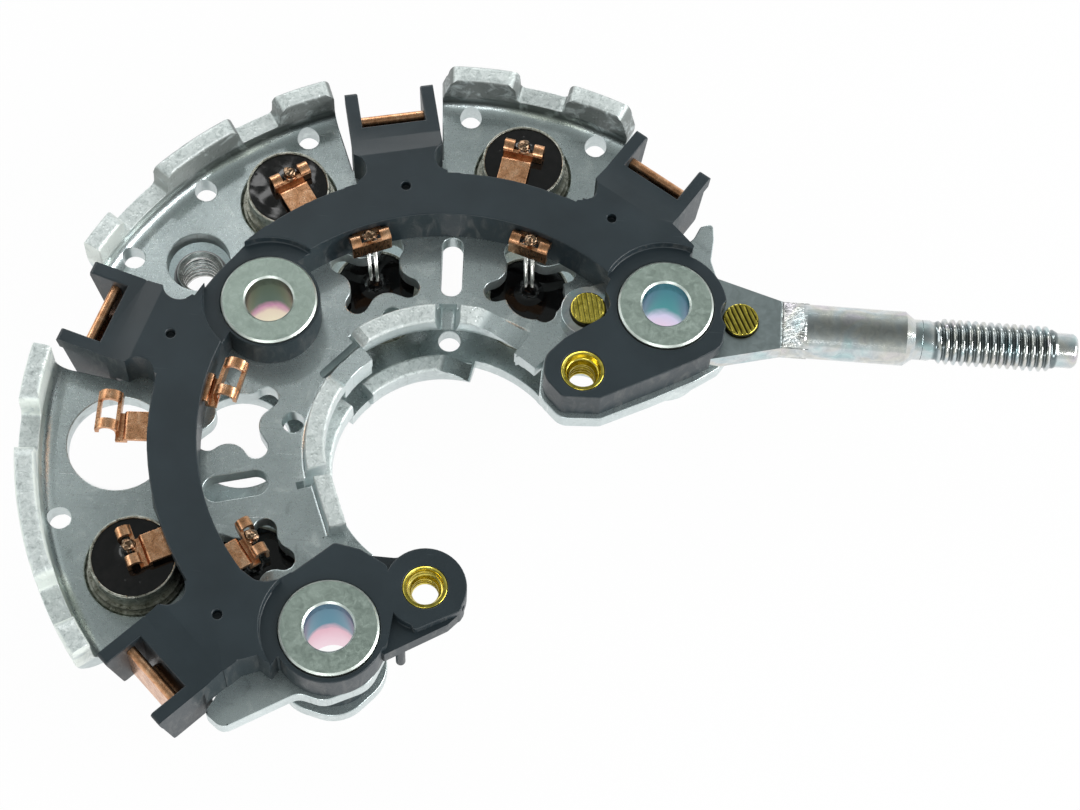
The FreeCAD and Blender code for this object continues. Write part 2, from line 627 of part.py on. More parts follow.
def clip(radius, angle, tab_angle, closed, outward):
    """Hook at the end of a tab: two bands over a window, round the lead.

    Where there is room the tab rolls down at its edge and comes up again as the
    near wall of the hook, which leaves a narrow valley between the two.
    """
    outer = CLOSED_HOOK_R if closed else OPEN_HOOK_R
    way = 1 if outward else -1
    near = radius - way * outer
    far = radius + way * outer
    edge = near - way * VALLEY
    rolled = way * (edge - (ARC_OUT if outward else ARC_IN)) > TAB_LEAST
    floor = VALLEY_FLOOR_OUT if outward else VALLEY_FLOOR_IN
    top = STRIP_Z + outer + (CLOSED_HOOK_RISE if closed else OPEN_HOOK_RISE)
    near_foot = floor if rolled else STRIP_Z - HOOK_FOOT
    far_foot = floor if closed else STRIP_Z - HOOK_FOOT / 2
    feet = (near_foot, far_foot) if outward else (far_foot, near_foot)
    pieces = []
    for y0 in (-HOOK_LENGTH / 2, HOOK_LENGTH / 2 - HOOK_BAND):
        pieces.append(arch(radius, outer, COPPER_T, y0, y0 + HOOK_BAND, *feet, top))
    walls = []
    if rolled or not closed:
        walls.append((near, near + way * COPPER_T, near_foot))
    if not (rolled and closed):
        walls.append((far, far - way * COPPER_T, CRIMP_FOOT if closed else far_foot))
    for a, b, low in walls:
        half = HOOK_LENGTH / 2
        pieces.append(box(min(a, b), max(a, b), -half, half, low, STRIP_Z + HOOK_SIDE))
    hook = at_angle(joined(pieces), angle)
    root = TRACK_IN if outward else TRACK_OUT
    z1 = STRIP_Z + STRIP_T
    inside = near + way * COPPER_T
    if rolled:
        under = edge - way * COPPER_T
        profile = [
            (root, STRIP_Z), (under, STRIP_Z), (under, floor), (inside, floor),
            (inside, floor + COPPER_T), (edge, floor + COPPER_T), (edge, z1, TAB_ROLL_R),
            (root, z1),
        ]
    else:
        profile = [(root, STRIP_Z), (inside, STRIP_Z), (inside, z1), (root, z1)]
    return [hook, at_angle(side(profile, TAB_HALF), tab_angle)]


def terminal(fork, outer, inner, closed):
    angles = [fork, outer[2], inner[2]]
    track = sector(TRACK_IN, TRACK_OUT, min(angles), max(angles), STRIP_Z, STRIP_Z + STRIP_T)
    pieces = [track]
    pieces += clip(DIODE_R + outer[1], outer[0], outer[2], closed, True)
    pieces += clip(CROSS_R + inner[1], inner[0], inner[2], closed, False)
    feet = (WEB_Z, HAIRPIN_FOOT)
    hair = [arch(HAIRPIN_R, HAIRPIN_HALF, COPPER_T, -FORK_GAP, FORK_GAP, *feet, HAIRPIN_TOP)]
    hair_in = HAIRPIN_R - HAIRPIN_HALF + COPPER_T
    riser_out = RISER_R + COPPER_T
    wide = (-RISER_HALF, RISER_HALF)
    hair.append(box(RISER_R, hair_in, *wide, WEB_Z, WEB_Z + COPPER_T))
    hair.append(box(RISER_R, riser_out, *wide, WEB_Z, STRIP_Z + STRIP_T))
    hair.append(box(TRACK_IN, riser_out, *wide, STRIP_Z, STRIP_Z + STRIP_T))
    pieces += [at_angle(piece, fork) for piece in hair]
    return joined(pieces)


def lug_outlines():
    upper = [
        (-12.9, -5.9, 1.2), (-14.9, -8.2, 2.5), (-14.9, -11.2, 2.6), (-12.4, -13.75, 1.0),
        (-7.6, -13.6, 0.8), (-1.3, -10.3), (4.4, -7.2, 3.0), (7.4, -5.2, 2.0), (8.0, -0.4, 2.0),
        (0.0, 0.0), (-6.7, -1.4, 1.0),
    ]
    lower = [
        (-45.4, -41.0), (-43.5, -39.65, 3.0), (-38.9, -35.5, 0.8), (-35.7, -36.1, 1.0),
        (-32.3, -37.9, 1.0), (-31.0, -41.0), (-31.4, -48.9, 0.8), (-38.5, -46.6), (-45.4, -46.6),
    ]
    return upper, lower


def terminal_block(terminals, blade):
    arc = sector(ARC_IN, ARC_OUT, *ARC_SPAN, UPPER_TOP, ARC_TOP)
    body = [arc]
    body.append(plate([(-11.5, 14.0), (0.2, 11.3), (3.2, 8.25, 0.2), (0, 0), (-7.7, 3.6)],
                      UPPER_TOP, ARC_TOP))
    body.append(plate([(-43.0, -50.6), (-46.0, -50.8, 1.0), (-48.7, -51.8, 0.8), (-50.3, -53.3),
                       (-53.0, -50.0), (-51.5, -44.5), (-50.4, -39.9), (-49.4, -40.5, 0.8),
                       (-47.9, -41.5, 1.5), (-46.6, -41.6, 1.5), (-44.5, -41.0), (-40.0, -44.0)],
                      UPPER_TOP, ARC_TOP))
    for i, angle in enumerate(FORKS):
        scallops = [(1,), (-1, 1), (-1, 1), (-1,)][i]
        body.append(at_angle(fork_solid(scallops), angle))
    block = joined(body)
    steps = [post(m, STEP_R, BOSS_TOP, ARC_TOP + OVER) for m in MOUNTS.values()]
    angle, start, end = RIGHT_STEP
    steps.append(at_angle(box(start, end, -start, 0, BOSS_TOP, ARC_TOP + OVER), angle))
    block = block.cut(steps)
    upper, lower = lug_outlines()
    adds = [plate(upper, UPPER_TOP, BOSS_TOP), plate(lower, UPPER_TOP, BOSS_TOP)]
    for name, centre in MOUNTS.items():
        adds.append(post(centre, BOSS_R[name], UPPER_TOP, BOSS_TOP))
        adds.append(post(centre, SPIGOT_R, UPPER_BOTTOM, SLEEVE_H + OVER))
    lug = INSERTS["lower"]
    body_top = BOSS_TOP - LUG_RING_H
    body_bottom = body_top - LUG_BODY_H
    arm = [
        (-36.0, -36.4), (-31.4, -36.5, 1.5), (-27.2, -35.3, 3.0), (-23.0, -37.8, 3.0),
        (-22.4, -42.5, 1.6), (-24.3, -44.6, 0.8), (-31.6, -49.0), (-36.0, -46.0),
    ]
    adds.append(plate(arm, body_bottom, body_top))
    ring = post(lug, LUG_RING_R, body_bottom, BOSS_TOP)
    squared = [(-28.33, -46.11, 0.5), (-22.42, -42.94, 0.8), (-24.55, -38.98), (-30.46, -42.15)]
    beyond = [(-31.3, -47.7), (-19.5, -41.37), (-18.0, -44.2), (-29.8, -50.5)]
    ring = ring.fuse(plate(squared, body_bottom, BOSS_TOP))
    adds.append(ring.cut(plate(beyond, body_bottom - OVER, BOSS_TOP + OVER)))
    adds.append(post(LOCATING_PEG, LOCATING_PEG_R, LOCATING_PEG_FOOT, body_top))
    block = joined([block] + adds)
    cuts = []
    for centre in MOUNTS.values():
        cuts.append(post(centre, SLEEVE_HOLE_R, 0, ABOVE))
        cuts.append(post(centre, COLLAR_SEAT_R, SLEEVE_H, ABOVE))
    cuts.append(post(INSERTS["upper"], INSERT_R, 0, ABOVE))
    cuts.append(post(lug, INSERT_R, 0, ABOVE))
    cuts += [post(on_ring(r, a), PIN_MARK_R, ARC_TOP - OVER, ABOVE) for r, a in PIN_MARKS]
    cuts += [
        post(on_ring(r, a), SEAT_R + CUP_GAP, 0, STRIP_Z - STRIP_GAP) for r, a in positive_seats()
    ]
    cuts += terminals
    cuts.append(blade)
    for way in (-1, 1):
        cuts.append(post(V(way * RIVET_X, STUD_Y, 0), RIVET_R + RIVET_GAP, UPPER_TOP, ABOVE))
    return block.cut(cuts).removeSplitter()


def blade_shape():
    """Flat eye of the stud, lying on the positive sheet."""
    z0, z1 = UPPER_TOP, UPPER_TOP + BLADE_T
    eye = post(V(-RIVET_X, STUD_Y, 0), BLADE_EYE_R, z0, z1)
    ring = post(V(0, 0, 0), BLADE_R, z0, z1)
    web = plate([(-RIVET_X, STUD_Y - BLADE_EYE_R), (0, -BLADE_R + 0.2), (0, BLADE_R - 0.2),
                 (-RIVET_X, STUD_Y + BLADE_EYE_R)], z0, z1)
    tail = plate([(1.5, 7.15), (1.5, -7.15), (15.2, STUD_Y - 3.3, 1.0), (18.6, STUD_Y - 3.3),
                  (18.6, STUD_Y + 3.3), (15.2, STUD_Y + 3.3, 1.0)], z0, z1)
    return joined([eye, ring, web, tail]).cut(post(MOUNTS["right"], SPIGOT_HOLE_R, 0, ABOVE))


def output_stud():
    z0, z1 = UPPER_TOP, UPPER_TOP + BLADE_T
    axis_z = (z0 + z1) / 2
    flat = blade_shape()
    profile = [
        (SHANK_START, 0), (SHANK_START, SHANK_R), (SHANK_END, SHANK_R),
        (SHANK_END + SHANK_TAPER, NECK_SHANK_R),
        (NECK_END, NECK_SHANK_R), (NECK_END + 0.5, THREAD_R), (THREAD_END - 0.5, THREAD_R),
        (THREAD_END, TIP_R), (TIP_END - 0.4, TIP_R), (TIP_END, TIP_R - 0.4), (TIP_END, 0),
    ]
    wire = placed(rounded_wire(profile), V(0, STUD_Y, axis_z), V(1, 0, 0), UP)
    rod = Part.Face(wire).revolve(V(0, STUD_Y, axis_z), V(1, 0, 0), 360)
    slopes = []
    for way, face in ((1, z1), (-1, z0)):
        slope = [
            (SHANK_START - OVER, face), (SHANK_START, face), (SHANK_FULL, axis_z + way * SHANK_R),
            (SHANK_FULL, axis_z + way * 2 * SHANK_R),
            (SHANK_START - OVER, axis_z + way * 2 * SHANK_R),
        ]
        slopes.append(side(slope, 2 * SHANK_R, STUD_Y))
    stud = joined([flat, rod.cut(slopes)])
    return stud.cut([post(V(way * RIVET_X, STUD_Y, 0), RIVET_R, 0, ABOVE) for way in (-1, 1)])


def rivet(way):
    z0 = UPPER_BOTTOM - RIVET_HEAD_H
    z1 = UPPER_TOP + BLADE_T + RIVET_PROUD
    centre = V(way * RIVET_X, STUD_Y, 0)
    head_r = RIVET_R + RIVET_HEAD
    profile = [
        (0, z0), (head_r, z0, RIVET_HEAD_H / 2), (head_r, UPPER_BOTTOM), (RIVET_R, UPPER_BOTTOM),
        (RIVET_R, z1, 0.25), (0, z1),
    ]
    return turned(profile, centre)


def collar(centre):
    z0, z1 = SLEEVE_H, COLLAR_TOP
    c = COLLAR_EDGE
    return turned([
        (SLEEVE_BORE_R, z0), (COLLAR_R, z0), (COLLAR_R, z1 - c), (COLLAR_R - c, z1),
        (SLEEVE_BORE_R + c, z1), (SLEEVE_BORE_R, z1 - c),
    ], centre)


def insert(centre, height, step):
    z0, z1 = BOSS_TOP - height, BOSS_TOP
    return turned([
        (INSERT_BORE_R, z0 + INSERT_CHAMFER), (INSERT_BORE_R + INSERT_CHAMFER, z0), (INSERT_R, z0),
        (INSERT_R, z1), (INSERT_MOUTH_R, z1), (INSERT_STEP_R, z1 - step),
        (INSERT_BORE_R, z1 - step - INSERT_CONE),
    ], centre)


def cup(centre, z0):
    inner = CUP_WALL_R - CUP_WALL
    return turned([
        (0, z0), (CUP_BASE_R - CUP_LEAD_IN, z0), (CUP_BASE_R, z0 + CUP_LEAD_IN),
        (CUP_BASE_R, z0 + CUP_BASE_H - CUP_LEAD_IN), (CUP_BASE_R - CUP_LEAD_IN, z0 + CUP_BASE_H),
        (CUP_RING_R, z0 + CUP_BASE_H),
        (CUP_RING_R, z0 + CUP_RING_H), (CUP_WALL_R, z0 + CUP_RING_H),
        (CUP_WALL_R, z0 + CUP_H, CUP_LIP),
        (inner, z0 + CUP_H, CUP_LIP), (inner, z0 + CUP_FLOOR), (0, z0 + CUP_FLOOR),
    ], centre)


def bent_path(points, radius):
    """Open path of straight runs joined by tangent arcs."""
    edges = []
    last = points[0]
    for before, here, after in zip(points, points[1:], points[2:]):
        back = (before - here).normalize()
        on = (after - here).normalize()
        half = back.getAngle(on) / 2
        setback = radius / math.tan(half)
        middle = (back + on).normalize()
        centre = here + middle * (radius / math.sin(half))
        edges.append(Part.makeLine(last, here + back * setback))
        last = here + on * setback
        edges.append(Part.Arc(here + back * setback, centre - middle * radius, last).toShape())
    edges.append(Part.makeLine(last, points[-1]))
    return Part.Wire(edges)


def lead(centre, z0, top, blob_z):
    """Wire from the chip up to the hook, with the solder that holds it."""
    start = V(centre.x, centre.y, z0 + CUP_FLOOR + CHIP_H)
    rise = z0 + CUP_H - 0.9
    lean = V(top.x - centre.x, top.y - centre.y, 0).Length
    upper_bend = max(rise + 0.9 * lean, LEAD_UPPER_BEND - z0 * 0.2)
    points = [start, V(centre.x, centre.y, rise), V(top.x, top.y, upper_bend), top]
    path = bent_path(points, LEAD_BEND)
    circle = Part.Wire([Part.makeCircle(LEAD_R, start, UP)])
    wire = path.makePipeShell([circle], True, True)
    return wire.fuse(Part.makeSphere(BLOB_R, V(top.x, top.y, blob_z)))


def write(name, shape):
    solids = shape.Solids
    body = solids[0] if len(solids) == 1 else Part.makeCompound(solids)
    body.exportStep("parts/" + name + ".step")
    print(name, len(solids), body.isValid())


def main():
    os.makedirs("parts", exist_ok=True)
    write("positive_heat_sink", positive_sheet())
    write("negative_heat_sink", negative_sheet())
    terminals = {name: terminal(*row) for name, row in TERMINALS.items()}
    for name, shape in terminals.items():
        write("phase_terminal_" + name, shape)
    stud = output_stud()
    write("terminal_block", terminal_block(list(terminals.values()), blade_shape()))
    write("output_stud", stud)
    write("stud_rivet_inner", rivet(-1))
    write("stud_rivet_outer", rivet(1))
    for name, centre in MOUNTS.items():
        write("mount_collar_" + name, collar(centre))
        sleeve = post(centre, SLEEVE_R, 0, SLEEVE_H).cut(post(centre, SLEEVE_BORE_R, -OVER, ABOVE))
        write("mount_sleeve_" + name, sleeve)
        spacer = post(centre, SPACER_R, LOWER_TOP, UPPER_BOTTOM)
        write("insulator_spacer_" + name, spacer.cut(post(centre, SLEEVE_HOLE_R, 0, ABOVE)))
    write("regulator_insert_upper", insert(INSERTS["upper"], UPPER_INSERT_H, UPPER_STEP))
    write("regulator_insert_lower", insert(INSERTS["lower"], INSERT_H, LOWER_STEP))
    bush = turned([
        (BUSH_BORE_R, 0), (BUSH_R, 0), (BUSH_R, BUSH_SHOULDER), (BUSH_TOP_R, BUSH_TOP, 0.4),
        (BUSH_BORE_R + BUSH_CHAMFER, BUSH_TOP), (BUSH_BORE_R, BUSH_TOP - BUSH_CHAMFER),
    ], BUSH)
    write("threaded_bush", bush)
    chips = []
    for kind, rows, z0 in (("positive", POSITIVE, UPPER_BOTTOM), ("negative", EARTHED, 0.0)):
        for i, (angle, radius, which) in enumerate(rows):
            centre = on_ring(radius, angle)
            hook = TERMINALS[which][1 if kind == "positive" else 2]
            hook_r = hook[1] + (DIODE_R if kind == "positive" else CROSS_R)
            top = on_ring(hook_r, hook[0], STRIP_Z + LEAD_TOP)
            wire = lead(centre, z0, top, STRIP_Z + BLOB_Z).cut(terminals[which])
            body = cup(centre, z0)
            inner = CUP_WALL_R - CUP_WALL
            crown = z0 + CUP_H - POTTING_DROP
            fill = post(centre, inner, z0 + CUP_FLOOR, crown)
            chip = post(centre, CHIP_R, z0 + CUP_FLOOR, z0 + CUP_FLOOR + CHIP_H)
            fill = fill.cut([chip, wire])
            number = "_" + str(i + 1)
            write(kind + "_diode_cup" + number, body)
            write(kind + "_diode_potting" + number, fill)
            write(kind + "_diode_lead" + number, wire)
            chips.append(chip)
    write("diode_chips", Part.makeCompound(chips))


main()
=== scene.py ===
import json
import math

import bmesh
import bpy
from mathutils import Matrix, Vector, noise
from mathutils.bvhtree import BVHTree

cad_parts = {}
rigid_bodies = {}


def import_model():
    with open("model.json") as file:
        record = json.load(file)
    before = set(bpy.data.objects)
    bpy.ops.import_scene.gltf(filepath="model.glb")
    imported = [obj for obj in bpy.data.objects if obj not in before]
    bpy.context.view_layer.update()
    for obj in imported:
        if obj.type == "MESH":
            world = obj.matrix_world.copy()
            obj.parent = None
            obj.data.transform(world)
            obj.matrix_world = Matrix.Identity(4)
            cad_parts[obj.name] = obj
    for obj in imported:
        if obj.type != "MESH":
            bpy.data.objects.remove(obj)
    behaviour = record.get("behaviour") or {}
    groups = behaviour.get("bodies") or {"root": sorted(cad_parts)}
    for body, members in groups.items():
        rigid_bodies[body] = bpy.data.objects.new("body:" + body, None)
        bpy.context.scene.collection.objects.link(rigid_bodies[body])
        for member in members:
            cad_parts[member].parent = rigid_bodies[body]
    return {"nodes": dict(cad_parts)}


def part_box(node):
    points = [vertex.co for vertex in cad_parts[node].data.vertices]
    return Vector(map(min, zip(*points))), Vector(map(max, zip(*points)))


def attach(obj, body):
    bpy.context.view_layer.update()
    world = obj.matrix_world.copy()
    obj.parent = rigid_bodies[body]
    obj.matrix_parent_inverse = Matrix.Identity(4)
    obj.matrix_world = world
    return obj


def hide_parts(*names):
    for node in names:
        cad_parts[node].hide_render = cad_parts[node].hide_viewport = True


for leftover in list(bpy.data.objects):
    bpy.data.objects.remove(leftover)
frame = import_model()
bpy.context.view_layer.update()

# Places and levels of the part, in millimetres
MM = 0.001
X_AXIS = Vector((1.0, 0.0, 0.0))
Y_AXIS = Vector((0.0, 1.0, 0.0))
Z_AXIS = Vector((0.0, 0.0, 1.0))
RING = Vector((-26.75, -20.24, 0.0))       # centre of the arcs
MOUNTS = {"right": (0.0, 0.0), "left": (-50.29, -3.46), "lower": (-38.48, -46.62)}
BOSS_TOP = 14.85
BUSH = Vector((-60.46, 3.84, 0.0))
STUD_AXIS = Vector((0.0, -0.35, 11.1))
BLADE_END = 15.2                           # the stud's flat blade ends and its slope starts
SLOPE_END = 17.9                           # the slope reaches the full shank
RIVET_X = 9.8
RIVET_TOP = 13.25
# Where the tones of the materials change, in millimetres
BORE_SHADING_TOP = 13.0                            # the colours in a bore are spread up to here, from a painted reflection at the foot to painted shade at the top
BORE_EDGE_R = 3.3                          # nearer to its axis than this, a collar is bore
DULL_START = 4.0                           # along X, the blade's dull tone fades in from here
WALL_SHADING_R = 47.5                         # the painted light and shade on the folded wall start past this radius
WALL_SHADING_Z = 10.4                         # and above this level
TERMINALS = [f"phase_terminal_{number}" for number in range(1, 5)]
KINDS = ("positive", "negative")
DIODES = [(kind, number) for kind in KINDS for number in range(1, 4)]


# Materials

ALUMINIUM_DARK = (0.50, 0.565, 0.57)
ALUMINIUM_MID = (0.69, 0.77, 0.775)
ALUMINIUM_LIGHT = (0.80, 0.87, 0.86)
ALUMINIUM_BRIGHT = (0.93, 0.97, 0.96)
PITTED = [(0.28, (0.24, 0.27, 0.27)), (0.44, (0.56, 0.61, 0.60)), (0.66, (0.78, 0.82, 0.81))]
# painted light and painted shade for the steep faces of the folded wall
WALL_PAINTED_LIGHT = (0.88, 0.93, 0.88)
WALL_SHADE = (0.13, 0.145, 0.14)
BLACK = [(0.3, (0.011, 0.019, 0.024)), (0.7, (0.018, 0.029, 0.036))]
BLACK_SCUFF = (0.115, 0.115, 0.112)
BLACK_SCRATCH = (0.09, 0.11, 0.12)
COPPER = [(0.28, (0.40, 0.19, 0.09)), (0.48, (0.66, 0.34, 0.18)), (0.72, (0.90, 0.56, 0.35))]
ZINC = [(0.3, (0.55, 0.59, 0.61)), (0.7, (0.76, 0.79, 0.78))]
ZINC_FILM = [(0.3, (0.55, 0.86, 0.88)), (0.45, (0.86, 0.88, 0.90)), (0.58, (0.92, 0.84, 0.72)),
             (0.72, (0.88, 0.70, 0.82))]
BLADE_ZINC = [(0.3, (0.35, 0.405, 0.41)), (0.7, (0.48, 0.55, 0.56))]
THREAD_ROOT_SHADE = (0.10, 0.13, 0.14)
BUSH_BRIGHT = [(0.3, (0.42, 0.43, 0.42)), (0.7, (0.86, 0.86, 0.84))]
BUSH_SHADE = (0.035, 0.040, 0.042)
COLLAR = [(0.25, (0.36, 0.44, 0.39)), (0.5, (0.44, 0.53, 0.47)), (0.75, (0.56, 0.65, 0.59))]
COLLAR_RING = (0.52, 0.56, 0.52)
COLLAR_RIM_HIGHLIGHT = (0.74, 0.78, 0.74)
BRASS = [(0.3, (0.44, 0.35, 0.04)), (0.7, (0.86, 0.72, 0.15))]
BRASS_GROOVE_SHADE = (0.05, 0.042, 0.008)
POTTING = [(0.3, (0.003, 0.003, 0.003)), (0.7, (0.009, 0.008, 0.008))]
CUP = [(0.3, (0.19, 0.19, 0.15)), (0.5, (0.42, 0.42, 0.36)), (0.72, (0.72, 0.72, 0.66))]
SOLDER = [(0.3, (0.03, 0.02, 0.016)), (0.5, (0.20, 0.12, 0.07)), (0.72, (0.55, 0.42, 0.30))]
TINNED = [(0.3, (0.45, 0.44, 0.40)), (0.7, (0.80, 0.80, 0.78))]
SILICON = [(0.3, (0.05, 0.055, 0.07)), (0.7, (0.10, 0.11, 0.13))]
# Colour of each bore at its top, the film's hue darkened as painted shade, then the colours that run up
# it: a painted reflection, bright at the foot, over the hues of the zinc film
BORE_TOP_FILM_IN_SHADE = {"right": (0.05, 0.30, 0.32), "left": (0.07, 0.12, 0.09), "lower": (0.04, 0.22, 0.32)}
BORE_FILM_LIGHT_SHADE = {
    "right": [(0.0, (0.90, 0.66, 0.80)), (0.55, (0.70, 0.66, 0.88)), (0.8, BORE_TOP_FILM_IN_SHADE["right"])],
    "left": [(0.0, (0.86, 0.82, 0.58)), (0.55, (0.80, 0.66, 0.52)), (0.72, (0.55, 0.25, 0.40)),
             (0.85, BORE_TOP_FILM_IN_SHADE["left"])],
    "lower": [(0.0, (0.92, 0.70, 0.78)), (0.6, (0.80, 0.45, 0.55)), (0.8, BORE_TOP_FILM_IN_SHADE["lower"])],
}


def tinted(colour, factor):
    return tuple(part * factor for part in colour)


def fill_ramp(node, stops):
    """Set the knots of a colour ramp from (place, colour) stops."""
    knots = node.color_ramp.elements
    while len(knots) < len(stops):
        knots.new(0.5)
    for knot, (place, colour) in zip(knots, stops):
        knot.position = place
        knot.color = (*colour, 1.0)


class Paint:
    """One procedural material. Lengths inside it are millimetres."""

    def __init__(self, name, metallic=0.0, rough=0.5):
        self.mat = bpy.data.materials.new(name)
        self.mat.use_nodes = True
        self.tree = self.mat.node_tree
        self.tree.nodes.clear()
        out = self.add("ShaderNodeOutputMaterial")
        self.shader = self.add("ShaderNodeBsdfPrincipled")
        self.join(self.shader.outputs[0], out.inputs[0])
        self.shader.inputs["Metallic"].default_value = metallic
        self.shader.inputs["Roughness"].default_value = rough
        coord = self.add("ShaderNodeTexCoord")
        self.mm = self.vec("SCALE", coord.outputs["Object"], scale=1.0 / MM)
        self.normal = None

    def add(self, kind, **props):
        node = self.tree.nodes.new(kind)
        for key, value in props.items():
            setattr(node, key, value)
        return node

    def join(self, a, b):
        self.tree.links.new(a, b)

    def feed(self, value, socket):
        """Link a socket, or set a number or colour on it."""
        if isinstance(value, bpy.types.NodeSocket):
            self.join(value, socket)
        else:
            if hasattr(socket.default_value, "__len__") and isinstance(value, (int, float)):
                value = (value,) * len(socket.default_value)
            if hasattr(value, "__len__") and len(value) == 3 and len(socket.default_value) == 4:
                value = (*value, 1.0)
            socket.default_value = value

    def vec(self, op, a, b=None, scale=None):
        node = self.add("ShaderNodeVectorMath", operation=op)
        self.feed(a, node.inputs[0])
        if b is not None:
            self.feed(b, node.inputs[1])
        if scale is not None:
            node.inputs["Scale"].default_value = scale
        return node.outputs["Value" if op == "LENGTH" else "Vector"]

    def math(self, op, a, b=0.0):
        node = self.add("ShaderNodeMath", operation=op)
        self.feed(a, node.inputs[0])
        self.feed(b, node.inputs[1])
        return node.outputs[0]

    def times(self, *factors):
        """Product of two or more values."""
        total = factors[0]
        for factor in factors[1:]:
            total = self.math("MULTIPLY", total, factor)
        return total

    def combined(self, x, y, z):
        node = self.add("ShaderNodeCombineXYZ")
        for value, socket in zip((x, y, z), node.inputs):
            self.feed(value, socket)
        return node.outputs[0]

    def axis(self, which):
        """Place along X, Y or Z, in millimetres."""
        node = self.add("ShaderNodeSeparateXYZ")
        self.join(self.mm, node.inputs[0])
        return node.outputs[which]

    def from_line(self, centre, kept):
        """Distance from a line through the centre; kept is 1 for the axes that count."""
        away = self.vec("SUBTRACT", self.mm, tuple(centre))
        return self.vec("LENGTH", self.vec("MULTIPLY", away, kept))

    def facing(self, which):
        """Component of the surface normal along X, Y or Z."""
        geo = self.add("ShaderNodeNewGeometry")
        node = self.add("ShaderNodeSeparateXYZ")
        self.join(geo.outputs["True Normal"], node.inputs[0])
        return node.outputs[which]

    def upright(self, level, steep):
        """From 0 where the surface lies flatter than level to 1 where it is steeper than steep."""
        return self.steps(self.math("ABSOLUTE", self.facing("Z")), level, steep)

    def mapped(self, scale=(1, 1, 1), turn=0.0, shift=(0, 0, 0)):
        node = self.add("ShaderNodeMapping")
        self.join(self.mm, node.inputs["Vector"])
        node.inputs["Scale"].default_value = scale
        node.inputs["Rotation"].default_value = (0, 0, math.radians(turn))
        node.inputs["Location"].default_value = shift
        return node.outputs[0]

    def noise(self, scale, detail=3.0, rough=0.55, where=None, warp=0.0):
        node = self.add("ShaderNodeTexNoise")
        self.join(where or self.mm, node.inputs["Vector"])
        node.inputs["Scale"].default_value = scale
        node.inputs["Detail"].default_value = detail
        node.inputs["Roughness"].default_value = rough
        node.inputs["Distortion"].default_value = warp
        return node.outputs["Fac"]

    def cells(self, scale, where=None):
        """Distance to the nearest of scattered points."""
        node = self.add("ShaderNodeTexVoronoi")
        self.join(where or self.mm, node.inputs["Vector"])
        node.inputs["Scale"].default_value = scale
        return node.outputs["Distance"]

    def steps(self, fac, low, high, a=0.0, b=1.0):
        """Maps low..high of a value smoothly to a..b."""
        node = self.add("ShaderNodeMapRange", interpolation_type="SMOOTHSTEP")
        self.feed(fac, node.inputs["Value"])
        node.inputs["From Min"].default_value = low
        node.inputs["From Max"].default_value = high
        node.inputs["To Min"].default_value = a
        node.inputs["To Max"].default_value = b
        return node.outputs["Result"]

    def ramp(self, fac, stops):
        node = self.add("ShaderNodeValToRGB")
        self.join(fac, node.inputs["Fac"])
        fill_ramp(node, stops)
        return node.outputs["Color"]

    def mix(self, fac, a, b, mode="MIX"):
        node = self.add("ShaderNodeMix", data_type="RGBA", blend_type=mode)
        node.clamp_factor = True
        self.feed(fac, node.inputs["Factor"])
        self.feed(a, node.inputs["A"])
        self.feed(b, node.inputs["B"])
        return node.outputs["Result"]

    def scratches(self, turns, density=0.72, pitch=3.2, length=0.10):
        """Thin straight scratches along several directions, 0 to 1."""
        total = None
        for i, turn in enumerate(turns):
            place = self.mapped((length, pitch, length), turn, (11.0 * i, 7.0 * i, 0))
            thin = self.steps(self.noise(1.0, 2.0, 0.5, place), density, density + 0.06)
            patch = self.noise(0.16, 1.0, 0.5, self.mapped(shift=(31.0 * i, 0, 5.0)))
            one = self.times(thin, self.steps(patch, 0.5, 0.62))
            total = one if total is None else self.math("MAXIMUM", total, one)
        return total

    def bump(self, height, strength, depth_mm):
        node = self.add("ShaderNodeBump")
        node.inputs["Strength"].default_value = strength
        node.inputs["Distance"].default_value = depth_mm * MM
        self.feed(height, node.inputs["Height"])
        if self.normal is not None:
            self.join(self.normal, node.inputs["Normal"])
        self.normal = node.outputs[0]

    def done(self, colour, rough, metallic=None):
        self.feed(colour, self.shader.inputs["Base Color"])
        self.feed(rough, self.shader.inputs["Roughness"])
        if metallic is not None:
            self.feed(metallic, self.shader.inputs["Metallic"])
        if self.normal is not None:
            self.join(self.normal, self.shader.inputs["Normal"])
        return self.mat


